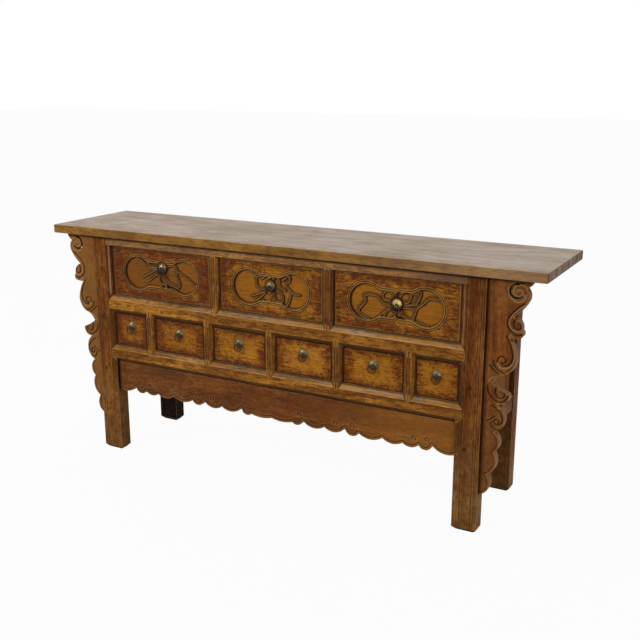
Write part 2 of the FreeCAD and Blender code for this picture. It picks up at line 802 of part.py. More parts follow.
def carve_cartouche(name, board, left, right, middle, pull_x, pull_z):
    """The sunk ground, the line outside its rim and the knot left for the pull."""
    centre = "(%s + %s) / 2" % (left, right)
    lobe_place = "(%s - (%s)) / 2 - cartouche_margin - lobe_radius" % (right, left)
    shape = (centre, middle, lobe_place)
    ground = gourd(name + "_ground", *shape, "-rim_width", "ground_depth")
    knot = rod(
        name + "_knot",
        ALONG_Y,
        "boss_radius + seat_margin",
        "ground_depth + 2 * cut_overrun",
        pull_x,
        "drawer_face - cut_overrun",
        pull_z,
    )
    line = cut(
        name + "_line",
        gourd(name + "_line_outer", *shape, "line_width", "line_depth"),
        [gourd(name + "_line_inner", *shape, "0", "line_depth")],
    )
    return cut(name + "_carved", board, [cut(name + "_sunk", ground, [knot]), line])


def drawer_box(name, left, right, foot, head):
    """Two sides, a back and a bottom, as separate boards."""
    outer_left = left + " + front_gap"
    outer_right = right + " - front_gap"
    inner_left = outer_left + " + side_thickness"
    inner_right = outer_right + " - side_thickness"
    lower_edge = foot + " + slide_gap"
    height = (lower_edge, head + " - front_gap - side_drop")
    length = ("drawer_face_back", "box_back")
    inner_back = "box_back - side_thickness"
    rise = lower_edge + " + bottom_rise"
    boards = [
        block(name + "_left", (outer_left, inner_left), length, height),
        block(name + "_right", (inner_right, outer_right), length, height),
        block(name + "_back", (inner_left, inner_right), (inner_back, "box_back"), height),
        block(
            name + "_bottom",
            (inner_left, inner_right),
            ("drawer_face_back", inner_back),
            (rise, rise + " + bottom_thickness"),
        ),
    ]
    return group(name, boards)


def pull_boss(name, x, z):
    """A domed boss held by a split pin, whose eye carries the ring."""
    ball = doc.addObject("Part::Sphere", name + "_ball")
    bind(ball, Radius="boss_sphere")
    place(ball, x, "drawer_face - boss_height + boss_sphere", z)
    face = "drawer_face - boss_height"
    rim = rod(name + "_rim", ALONG_Y, "boss_radius", "boss_height", x, face, z)
    dome = common(name + "_dome", [ball, rim])
    eye = loop(name + "_eye", ALONG_X, "eye_radius", "eye_wire", x, "ring_pivot", z)
    start = "drawer_face - boss_height / 2"
    reach = "boss_height / 2 + front_thickness + clinch_thickness"
    pin = rod(name + "_pin", ALONG_Y, "pin_radius", reach, x, start, z)
    clinch = block(
        name + "_clinch",
        (x + " - clinch_length", x + " + clinch_length"),
        ("drawer_face_back", "drawer_face_back + clinch_thickness"),
        (z + " - pin_radius", z + " + pin_radius"),
    )
    return fuse(name, [dome, eye, pin, clinch])


def make_drawer(name, bay, foot, head, shift, rise, carved):
    """A drawer's front, its box, its boss and its ring."""
    left, right = bay[:2]
    middle = "(%s + %s) / 2" % (foot, head)
    pull_x = "(%s + %s) / 2 + %s" % (left, right, shift)
    pull_z = "%s + %s" % (middle, rise)
    board = padded_board(
        name + "_plank",
        "XZ_Plane",
        (left + " + front_gap", right + " - front_gap"),
        (foot + " + front_gap", head + " - front_gap"),
        "front_thickness",
        ("0", "drawer_face_back", "0"),
    )
    round_edges(
        board,
        name + "_edges",
        "front_round",
        lambda edge: abs(edge.CenterOfMass.y + size("front_thickness")) < size("front_gap"),
    )
    front = carve_cartouche(name, board, left, right, middle, pull_x, pull_z) if carved else board
    hole = rod(
        name + "_hole",
        ALONG_Y,
        "pin_radius + pin_clearance",
        "front_thickness + 2 * cut_overrun",
        pull_x,
        "drawer_face - cut_overrun",
        pull_z,
    )
    keep(cut(name + "_front_cut", front, [hole]), name + "_front")
    keep(drawer_box(name + "_box_boards", left, right, foot, head), name + "_box")
    keep(pull_boss(name + "_pull", pull_x, pull_z), name + "_boss")
    ring = loop(
        name + "_pull_ring",
        ALONG_Y,
        "ring_radius",
        "ring_wire",
        pull_x,
        "ring_pivot",
        pull_z + " - ring_radius",
    )
    keep(ring, name + "_ring")


def make_drawers():
    """Three large carved drawers over six small plain ones."""
    upper_pulls = (
        ("left_pull_shift", "left_pull_rise"),
        ("centre_pull_shift", "centre_pull_rise"),
        ("right_pull_shift", "right_pull_rise"),
    )
    for number, (bay, pull) in enumerate(zip(upper_bays, upper_pulls), start=1):
        rows = ("mid_rail_head", "top_rail_foot")
        make_drawer("upper_drawer_%d" % number, bay, *rows, *pull, True)
    for number, bay in enumerate(lower_bays, start=1):
        rows = ("lower_rail_head", "mid_rail_foot")
        make_drawer("lower_drawer_%d" % number, bay, *rows, "0", "small_pull_rise", False)


def check_everything():
    """Stop if any object failed or any handed in shape is empty or broken."""
    doc.recompute()
    for item in doc.Objects:
        if "Invalid" in item.State or "Error" in item.State:
            raise RuntimeError("%s did not compute: %s" % (item.Name, item.State))
    for item in kept:
        if item.Shape.isNull() or not item.Shape.isValid():
            raise RuntimeError("%s has no valid shape" % item.Label)


def write_everything():
    os.makedirs("parts", exist_ok=True)
    for item in kept:
        item.Shape.exportStep("parts/%s.step" % item.Label)
        bounds = item.Shape.BoundBox
        volume = item.Shape.Volume / 1000
        corners = (bounds.XMin, bounds.YMin, bounds.ZMin, bounds.XMax, bounds.YMax, bounds.ZMax)
        box = " ".join("%.1f" % corner for corner in corners)
        solids = len(item.Shape.Solids)
        print("%-24s solids %d  volume %.1f cm3  box %s" % (item.Label, solids, volume, box))


fill_sheets()
upper_marks = ["-leg_inner", "-upper_stile_place", "upper_stile_place", "leg_inner"]
lower_marks = ["-leg_inner"] + ["%d * lower_bay" % step for step in range(-2, 3)] + ["leg_inner"]
upper_bays = bay_edges(upper_marks)
lower_bays = bay_edges(lower_marks)
upper_openings, lower_openings, apron_opening = make_openings()
front_rails = make_front_frame(upper_openings, lower_openings, apron_opening)
side_parts = make_ends()
back_parts = make_back()
leg_openings = [upper_openings[-1], lower_openings[-1]]
leg_blanks, top_tenons = make_legs(front_rails, leg_openings, side_parts, back_parts)
make_top(top_tenons)
make_apron()
make_wings()
slide_board("middle_board", "mid_rail_head", leg_blanks)
slide_board("bottom_board", "lower_rail_head", leg_blanks)
drawer_guides("upper_guides", upper_marks, "mid_rail_head")
drawer_guides("lower_guides", lower_marks, "lower_rail_head")
make_drawers()
check_everything()
write_everything()
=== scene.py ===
import math

import bmesh
import bpy
import numpy as np
from bpy.props import FloatProperty, FloatVectorProperty, PointerProperty
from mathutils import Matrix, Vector


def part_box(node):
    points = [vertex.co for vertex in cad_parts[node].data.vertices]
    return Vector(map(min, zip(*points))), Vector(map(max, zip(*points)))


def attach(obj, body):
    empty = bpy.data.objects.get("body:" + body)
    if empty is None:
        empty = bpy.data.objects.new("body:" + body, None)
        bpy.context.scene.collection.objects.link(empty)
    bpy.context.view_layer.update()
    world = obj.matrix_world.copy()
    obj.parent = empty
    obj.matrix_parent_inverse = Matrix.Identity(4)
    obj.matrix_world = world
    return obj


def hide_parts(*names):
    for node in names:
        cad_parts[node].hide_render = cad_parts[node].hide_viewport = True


bl_info = {
    "name": "Altar table",
    "version": (1, 0, 0),
    "blender": (4, 5, 0),
    "location": "3D View > Sidebar > Altar table",
    "description": "Carving, old timber and brass for the altar table, and its studio",
    "category": "Object",
}

# The frame is in metres: X runs along the table, -Y is its front and Z is up.
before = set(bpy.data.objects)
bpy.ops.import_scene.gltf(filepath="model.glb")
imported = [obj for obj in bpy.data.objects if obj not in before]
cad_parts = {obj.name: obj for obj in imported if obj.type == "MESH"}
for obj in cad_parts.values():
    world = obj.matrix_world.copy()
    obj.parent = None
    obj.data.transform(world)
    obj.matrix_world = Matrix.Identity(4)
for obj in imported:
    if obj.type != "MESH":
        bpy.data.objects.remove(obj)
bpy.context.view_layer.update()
MM = 0.001

LARGE_DRAWERS = ("upper_drawer_1", "upper_drawer_2", "upper_drawer_3")
SMALL_DRAWERS = tuple("lower_drawer_%d" % number for number in range(1, 7))

# The cartouche carved on a large drawer, in millimetres from the drawer's middle.
END_TO_CARTOUCHE = 42.5
LOBE_RADIUS = 70
WAIST_HALF = 53
WAIST_BLEND = 9
WAIST_CUSP = 6
RIM_WIDTH = 10
GROUND_DEPTH = 5.5
SEAT_RADIUS = 19
RIBBON_SLIMNESS = 0.85
FRONT_ROUNDING = 2.5

# Ribbons tied round each pull: half width, then points across and up from the middle.
LEFT_RIBBONS = (
    (5, ((-14, 30), (-42, 29), (-55, 38), (-54, 51), (-43, 60), (-34, 53))),
    (4, ((-104, 57), (-84, 47), (-68, 35), (-51, 24), (-12, 21))),
    (3.5, ((-76, -11), (-20, 20))),
    (3.5, ((-55, -24), (-12, 6))),
    (6, ((24, 33), (42, 42), (59, 42), (71, 31), (69, 15), (76, -8), (83, -26), (75, -37))),
    (7, ((75, -37), (55, -31), (31, -20), (14, 4))),
    (4, ((71, 17), (83, 21), (95, 12), (115, 3), (132, -8), (151, -22), (163, -17))),
    (5, ((14, 10), (12, -12), (24, -33), (15, -54))),
    (3.5, ((-2, 8), (-6, -14), (2, -30), (24, -33))),
)
CENTRE_RIBBONS = (
    (4, ((-90, 72), (-72, 53), (-54, 42))),
    (5.5, ((-14, 4), (-36, -2), (-50, 4), (-56, 21), (-55, 36), (-45, 44), (-34, 36), (-18, 47))),
    (5.5, ((-18, 47), (-5, 54), (8, 50), (13, 38), (10, 26))),
    (3.5, ((-76, -31), (-26, -12), (-10, 2))),
    (3.5, ((-62, -46), (-40, -33), (-18, -12))),
    (6, ((15, 2), (36, -6), (49, -22), (44, -40), (29, -43), (17, -30), (16, -14))),
    (4, ((-28, -42), (-15, -52), (0, -56), (12, -44), (6, -30))),
    (4, ((27, -47), (39, -56), (56, -56), (70, -42), (78, -22), (80, -8))),
    (5, ((20, 56), (29, 44), (35, 31), (37, 17), (45, 6), (59, 2))),
    (5, ((38, 46), (62, 57), (77, 47), (73, 33), (60, 30))),
    (4, ((47, 36), (63, 47))),
    (4.5, ((60, 30), (66, 15), (78, 4), (92, -7), (114, -8))),
)
RIGHT_RIBBONS = (
    (5, ((-112, 20), (-97, 25), (-81, 25), (-63, 21), (-51, 7), (-33, -3), (-8, -4))),
    (6, ((-112, 20), (-107, 5), (-116, -10), (-128, -24), (-130, -38), (-114, -50), (-92, -58))),
    (4.5, ((-8, 12), (-38, 14), (-46, 27), (-38, 40), (-25, 45), (-14, 39), (-10, 27), (-8, 12))),
    (3, ((-30, 58), (-12, 46), (0, 30))),
    (3.5, ((-66, -55), (-50, -35), (-32, -19), (-6, -8))),
    (4, ((-4, -10), (-30, -22), (-40, -44), (-24, -52), (-6, -38), (2, -14))),
    (5.5, ((8, 18), (18, 38), (30, 51), (42, 56), (50, 46), (49, 29), (40, 14), (20, 9))),
    (8, ((62, 45), (80, 46), (74, 28), (66, 12))),
    (3.5, ((16, 3), (42, 3), (60, 8))),
    (3.5, ((16, -7), (50, -6), (62, -10))),
    (5, ((56, -46), (64, -24), (71, -2), (91, 14), (107, 30), (122, 36), (138, 32), (156, 27))),
    (3, ((138, 32), (150, 38), (160, 40))),
    (6, ((12, -8), (22, -26), (36, -38), (52, -45))),
    (7, ((30, -50), (52, -52), (72, -52), (92, -55), (110, -59))),
)
RIBBONS = dict(zip(LARGE_DRAWERS, (LEFT_RIBBONS, CENTRE_RIBBONS, RIGHT_RIBBONS)))

# Lines of the carved wing: millimetres out from the leg, then up from the floor.
WING_GROOVES = (
    ((112, 767), (98, 756), (84, 742), (72, 728), (65, 714), (64, 698), (71, 685), (81, 676)),
    ((99, 725), (88, 716), (83, 705), (85, 693), (93, 687), (102, 689), (108, 696), (101, 706)),
    ((71, 809), (77, 821), (88, 828), (104, 828)),
    ((84, 671), (98, 668), (110, 673)),
    ((63, 663), (74, 644), (81, 625), (85, 603), (82, 583), (71, 571), (59, 569), (51, 577)),
    ((39, 578), (42, 592), (54, 598), (65, 590), (63, 578), (54, 578)),
    ((27, 582), (31, 567), (44, 553), (64, 544)),
    ((16, 566), (28, 552), (45, 541)),
    ((12, 500), (16, 479), (29, 461), (50, 452), (68, 457), (79, 476)),
    ((57, 527), (43, 504), (38, 484), (45, 468), (57, 465), (67, 473), (64, 485), (53, 485)),
    ((73, 452), (86, 467), (92, 480)),
    ((30, 437), (47, 427), (61, 409), (65, 393), (57, 380), (46, 377), (40, 383)),
    ((36, 387), (44, 395), (54, 390), (52, 380)),
    ((14, 386), (28, 394), (39, 404)),
    ((28, 384), (32, 368), (48, 361), (66, 366)),
)
WING_RIMS = (
    ((116, 764), (98, 750), (81, 733), (71, 714), (71, 700), (79, 687), (92, 680), (104, 680)),
    ((77, 808), (85, 819), (97, 823), (113, 819), (124, 808), (130, 797)),
    ((78, 806), (81, 796), (90, 789), (101, 790), (106, 799), (101, 807), (92, 808), (89, 801)),
    ((117, 795), (113, 781), (103, 773), (91, 770), (79, 775), (70, 784), (67, 800), (70, 815)),
    ((130, 797), (133, 784), (128, 768), (117, 751), (102, 737), (91, 723), (87, 716)),
    ((91, 714), (100, 718), (111, 716), (119, 708), (120, 698), (117, 687), (107, 680)),
    ((71, 666), (82, 645), (89, 624), (92, 600), (86, 578), (71, 563), (52, 562), (39, 577)),
    ((76, 670), (88, 655), (97, 636), (103, 608), (97, 575), (78, 549), (57, 530)),
    ((14, 512), (25, 526), (38, 533)),
    ((46, 433), (66, 431), (78, 416), (79, 393), (69, 371)),
)
LOBE_LINE_INSET = 7
LOBES_BELOW = 356

# Small scrolls where the apron's incised line turns: across, up from its lowest lobe.
APRON_CURLS = ((110, 41), (250, 36), (313, 38), (534, 36), (581, 40))
APRON_LINE_INSET = 9
APRON_LINE_HALF = 1.6
WORN_EDGE = 2.5

# Knots, stains and pegs that show in the timber, in metres.
TOP_KNOTS = ((0.02, 0.11, 0.87), (0.36, 0.13, 0.87), (-0.46, 0.02, 0.87))
LEG_KNOTS = ((0.722, -0.2, 0.487), (0.712, -0.2, 0.283), (-0.735, -0.2, 0.330))
LEG_STAINS = ((-0.720, -0.2, 0.715), (-0.731, -0.2, 0.533), (-0.693, -0.2, 0.805))
DRAWER_PEGS = ((-0.652, -0.188, 0.79), (0.263, -0.188, 0.643))

# Width of the boards that the back and the ends are made up of, in metres.
BACK_BOARD_WIDTH = 0.17


def tint(red, green, blue):
    """A paint swatch given out of 255 as the plain light values that a shader takes."""
    shares = [channel / 255 for channel in (red, green, blue)]
    plain = [s / 12.92 if s <= 0.04045 else ((s + 0.055) / 1.055) ** 2.4 for s in shares]
    return (*plain, 1.0)


def colour(name, description, *swatch):
    """A colour that a user may change."""
    return FloatVectorProperty(
        name=name, description=description, size=4, min=0, max=1, subtype="COLOR",
        default=tint(*swatch),
    )


def length(name, description, metres):
    """A length that a user may change."""
    return FloatProperty(
        name=name, description=description, default=metres, min=0, unit="LENGTH", precision=4,
    )


class TimberFinish(bpy.types.PropertyGroup):
    """Colours of the old lacquered timber and its brass."""

    amber: colour("Amber", "Lacquered drawer fronts", 166, 108, 26)
    amber_dark: colour("Dark amber", "Mottled patches on the drawer fronts", 72, 34, 15)
    stain: colour("Red stain", "Red mottles of the lacquer", 100, 36, 16)
    ground: colour("Ground", "Smooth sunk ground of a cartouche", 152, 96, 24)
    # Also painted shade under the rails and on the legs' bevels beside the lower drawers.
    ribbon: colour("Ribbon", "Dark carved ribbons", 66, 40, 20)
    leg: colour("Leg", "Legs", 146, 88, 36)
    leg_dark: colour("Dark leg", "Dark grain of the legs", 72, 32, 16)
    foot: colour("Foot", "Worn lower part of the legs", 158, 122, 66)
    # Painted shade on the front and inner faces of the back legs.
    shade_leg: colour("Back leg", "Blackened legs at the back", 22, 14, 9)
    rail: colour("Rail", "Rails and uprights", 196, 132, 46)
    rail_dark: colour("Dark rail", "Dark grain of the rails", 78, 42, 18)
    wing: colour("Wing", "Carved wings", 140, 80, 32)
    wing_dark: colour("Dark wing", "Dark streaks of the wings", 78, 38, 17)
    apron: colour("Apron", "Carved apron", 134, 86, 40)
    apron_dark: colour("Dark apron", "Dark grain of the apron", 62, 34, 19)
    edge_gold: colour("Board edge", "Front edge of the top board", 156, 112, 46)
    board_face: colour("Board face", "Worn upper face of the top board", 200, 186, 174)
    board_dark: colour("Dark board", "Stains on the top board", 142, 120, 100)
    # Also a painted highlight along the rails' front arrises.
    worn_and_lit: colour("Worn", "Rubbed edges", 196, 148, 84)
    # Also painted highlight where the carving faces the lamp and along the drawer fronts' rounded
    # borders.
    rim_wear_and_highlight: colour("Rim", "Rubbed crests of the carving", 192, 150, 92)
    # Also a painted highlight on the legs' bevels beside the upper drawers.
    ledge_dust_and_highlight: colour("Ledge", "Dusty worn slopes that face up", 166, 137, 102)
    # Also painted shade: in corners, round the drawers, under the top board, in the carved cuts and on
    # the brass.
    grime: colour("Grime", "Dirt in corners and cuts", 26, 15, 9)
    inner: colour("Bare inside", "Unfinished boards inside", 168, 134, 92)
    brass: colour("Brass", "Rubbed brass", 196, 170, 104)
    film: colour("Dull film", "Dull film on the brass", 100, 90, 64)
    ring_film: colour("Ring film", "Brown film on the rings", 58, 38, 20)


class CarvingSizes(bpy.types.PropertyGroup):
    """Sizes of the carving, the rubbed edges and the corner soiling and painted shade."""

    drawer_grid: length("Drawer grid", "Spacing of the carved drawer surface", 0.0012)
    wing_voxel: length("Wing grid", "Spacing of the carved wings' surface", 0.0016)
    apron_voxel: length("Apron grid", "Spacing of the carved apron's surface", 0.002)
    groove_width: length("Groove", "Half width of a carved groove", 0.0021)
    groove_depth: length("Groove depth", "Depth of a carved groove", 0.0036)
    rim_half: length("Rim", "Half width of a raised rim", 0.0018)
    wear_reach: length("Wear", "How far an edge is rubbed", 0.0035)
    # Reach of the soiling and painted shade in corners.
    grime_reach: length("Grime", "How far dirt reaches out of a corner", 0.018)


class StudioSettings(bpy.types.PropertyGroup):
    """Camera and light."""

    camera_place: FloatVectorProperty(
        name="Camera place", description="Where the camera stands", size=3, unit="LENGTH",
        default=(1.5914, -2.7664, 1.4127),
    )
    camera_tilt: FloatProperty(
        name="Tilt", description="Camera's turn up from straight down", subtype="ANGLE",
        default=math.radians(75.126),
    )
    camera_turn: FloatProperty(
        name="Turn", description="Camera's turn about the vertical", subtype="ANGLE",
        default=math.radians(28.479),
    )
    camera_lens: FloatProperty(
        name="Lens", description="Focal length in millimetres", default=51.67, min=1,
    )
    key_power: FloatProperty(
        name="Key lamp", description="Soft lamp in front on the left", default=95, min=0,
        subtype="POWER",
    )
    fill_power: FloatProperty(
        name="Fill lamp", description="Soft lamp in front on the right", default=25, min=0,
        subtype="POWER",
    )
    sky_strength: FloatProperty(
        name="Room light", description="Even light of the white room", default=0.62, min=0,
    )
    backdrop_share: FloatProperty(
        name="White floor", description="How much of the floor is plain white", default=0.95,
        min=0, max=1, subtype="FACTOR",
    )


# Shader nodes

def feed(tree, socket, value):
    """Link a socket to another, or set its value."""
    if isinstance(value, bpy.types.NodeSocket):
        tree.links.new(value, socket)
    else:
        socket.default_value = value


def node(tree, kind, inputs=None, **settings):
    """A node with its settings and inputs."""
    made = tree.nodes.new("ShaderNode" + kind)
    for name, value in settings.items():
        setattr(made, name, value)
    for name, value in (inputs or {}).items():
        feed(tree, made.inputs[name], value)
    return made


def maths(tree, operation, *values, clamp=False):
    made = tree.nodes.new("ShaderNodeMath")
    made.operation = operation
    made.use_clamp = clamp
    for place, value in enumerate(values):
        feed(tree, made.inputs[place], value)
    return made.outputs[0]


def fade(tree, value, start, end, low=0.0, high=1.0):
    """A smooth step from low to high as the value goes from start to end."""
    made = node(tree, "MapRange", {
        "Value": value, "From Min": start, "From Max": end, "To Min": low, "To Max": high,
    }, interpolation_type="SMOOTHSTEP")
    return made.outputs[0]


def blend(tree, share, first, second):
    """Two colours mixed."""
    made = node(tree, "Mix", data_type="RGBA")
    feed(tree, made.inputs[0], share)
    feed(tree, made.inputs[6], first)
    feed(tree, made.inputs[7], second)
    return made.outputs[2]


def noise(tree, vector, scale, detail=3.0, roughness=0.55, distortion=0.0):
    made = node(tree, "TexNoise", {
        "Vector": vector, "Scale": scale, "Detail": detail, "Roughness": roughness,
        "Distortion": distortion,
    })
    return made.outputs[0]


def stretched(tree, vector, along, across, shift=0.0):
    """Coordinates squeezed across the grain and stretched along it."""
    made = node(tree, "Mapping", {
        "Vector": vector, "Location": (shift, shift, shift), "Scale": (along, across, across),
    })
    return made.outputs[0]


def new_group(name, inputs, outputs):
    """An empty shader group with named inputs and outputs."""
    tree = bpy.data.node_groups.new(name, "ShaderNodeTree")
    for label, kind, default in inputs:
        socket = tree.interface.new_socket(label, in_out="INPUT", socket_type=kind)
        if default is not None:
            socket.default_value = default
    for label in outputs:
        tree.interface.new_socket(label, in_out="OUTPUT", socket_type="NodeSocketFloat")
    return tree, tree.nodes.new("NodeGroupInput"), tree.nodes.new("NodeGroupOutput")


def grain_group():
    """Timber grain that runs along the first axis of the vector that it is given."""
    tree, given, out = new_group(
        "Long grain",
        (("Vector", "NodeSocketVector", None), ("Rings", "NodeSocketFloat", 6.0)),
        ("Figure", "Fibre", "Flecks", "Pores"),
    )
    vector = given.outputs["Vector"]
    broad = noise(tree, stretched(tree, vector, 0.9, 8), 1.0, 2.0, 0.45, 0.25)
    turns = maths(tree, "MULTIPLY", broad, maths(tree, "MULTIPLY", given.outputs["Rings"], math.tau))
    waves = maths(tree, "MULTIPLY_ADD", maths(tree, "SINE", turns), 0.5, 0.5)
    streaks = noise(tree, stretched(tree, vector, 2.2, 70, 3.1), 1.0, 4.0, 0.6)
    figure = maths(tree, "MULTIPLY_ADD", waves, 0.45, maths(tree, "MULTIPLY", streaks, 0.65))
    fibre = noise(tree, stretched(tree, vector, 7, 330, 7.7), 1.0, 5.0, 0.65)
    flecks = noise(tree, stretched(tree, vector, 32, 140, 5.3), 1.0, 5.0, 0.68, 0.3)
    ticks = noise(tree, stretched(tree, vector, 30, 900, 1.3), 1.0, 2.0)
    feed(tree, out.inputs["Figure"], fade(tree, figure, 0.25, 0.8))
    feed(tree, out.inputs["Fibre"], fade(tree, fibre, 0.34, 0.66))
    feed(tree, out.inputs["Flecks"], fade(tree, flecks, 0.46, 0.59))
    feed(tree, out.inputs["Pores"], fade(tree, ticks, 0.6, 0.72))
    return tree


def patina_group():
    """Uneven lacquer: broad patches, small mottles and fine scuffs."""
    tree, given, out = new_group(
        "Old lacquer",
        (("Vector", "NodeSocketVector", None), ("Patch", "NodeSocketFloat", 9.0)),
        ("Patches", "Mottle", "Scuffs"),
    )
    vector = given.outputs["Vector"]
    patch = given.outputs["Patch"]
    patches = noise(tree, vector, patch, 5.0, 0.62, 0.4)
    mottle = noise(tree, vector, maths(tree, "MULTIPLY", patch, 5.5), 4.0, 0.66, 0.6)
    scuffs = noise(tree, stretched(tree, vector, 60, 240), 1.0, 3.0, 0.7)
    feed(tree, out.inputs["Patches"], fade(tree, patches, 0.36, 0.64))
    feed(tree, out.inputs["Mottle"], fade(tree, mottle, 0.4, 0.66))
    feed(tree, out.inputs["Scuffs"], fade(tree, scuffs, 0.5, 0.75))
    return tree


def wear_and_corner_shade_group():
    """Rubbed outer edges, and corners darkened by soiling and painted shade."""
    tree, given, out = new_group(
        "Edge wear",
        (
            ("Vector", "NodeSocketVector", None),
            ("Wear Reach", "NodeSocketFloat", 0.0035),
            ("Grime Reach", "NodeSocketFloat", 0.014),
            ("Crease Reach", "NodeSocketFloat", 0.004),
        ),
        ("Edges", "Corners"),
    )
    rounded = node(tree, "Bevel", {"Radius": given.outputs["Wear Reach"]}, samples=4)
    geometry = node(tree, "NewGeometry")
    turn = node(tree, "VectorMath", operation="DOT_PRODUCT")
    feed(tree, turn.inputs[0], rounded.outputs[0])
    feed(tree, turn.inputs[1], geometry.outputs["Normal"])
    bent = fade(tree, maths(tree, "SUBTRACT", 1.0, turn.outputs["Value"]), 0.01, 0.2)
    openness = node(tree, "AmbientOcclusion", {"Distance": given.outputs["Grime Reach"]}, samples=6)
    crease = node(tree, "AmbientOcclusion", {"Distance": given.outputs["Crease Reach"]}, samples=6)
    # Painted shade and soiling: ambient occlusion darkens corners and creases.
    corners = fade(tree, openness.outputs["AO"], 0.86, 0.35, 0.0, 0.85)
    creases = fade(tree, crease.outputs["AO"], 0.8, 0.45)
    corners = maths(tree, "MAXIMUM", corners, creases)
    ragged = fade(tree, noise(tree, given.outputs["Vector"], 45.0, 4.0, 0.7), 0.32, 0.6, 0.25, 1.0)
    outer = maths(tree, "MULTIPLY", bent, fade(tree, openness.outputs["AO"], 0.55, 0.9))
    feed(tree, out.inputs["Edges"], maths(tree, "MULTIPLY", outer, ragged))
    feed(tree, out.inputs["Corners"], corners)
    return tree


def facing_group():
    """Which way a face looks: up, up on a slope, down, along, forward or to the middle."""
    tree, given, out = new_group(
        "Facing", (), ("Level", "Slope", "Under", "End", "Front", "Inner")
    )
    geometry = node(tree, "NewGeometry")
    parts = node(tree, "SeparateXYZ", {"Vector": geometry.outputs["Normal"]})
    upward = parts.outputs["Z"]
    feed(tree, out.inputs["Level"], fade(tree, upward, 0.75, 0.95))
    feed(tree, out.inputs["Slope"], fade(tree, upward, 0.2, 0.45))
    feed(tree, out.inputs["Under"], fade(tree, upward, -0.2, -0.5))
    along = maths(tree, "ABSOLUTE", parts.outputs["X"])
    feed(tree, out.inputs["End"], fade(tree, along, 0.7, 0.9))
    feed(tree, out.inputs["Front"], fade(tree, parts.outputs["Y"], -0.6, -0.9))
    place = node(tree, "SeparateXYZ", {"Vector": geometry.outputs["Position"]})
    outward = maths(tree, "MULTIPLY", parts.outputs["X"], place.outputs["X"])
    feed(tree, out.inputs["Inner"], fade(tree, outward, -0.2, -0.5))
    return tree


def shared_group(name, build):
    """A group that is built the first time it is asked for."""
    return bpy.data.node_groups.get(name) or build()


def placed_group(tree, group, inputs=None):
    made = tree.nodes.new("ShaderNodeGroup")
    made.node_tree = group
    for name, value in (inputs or {}).items():
        feed(tree, made.inputs[name], value)
    return made.outputs


def swatch(name):
    """The finish colour of that name."""
    return tuple(getattr(bpy.context.scene.altar_finish, name))


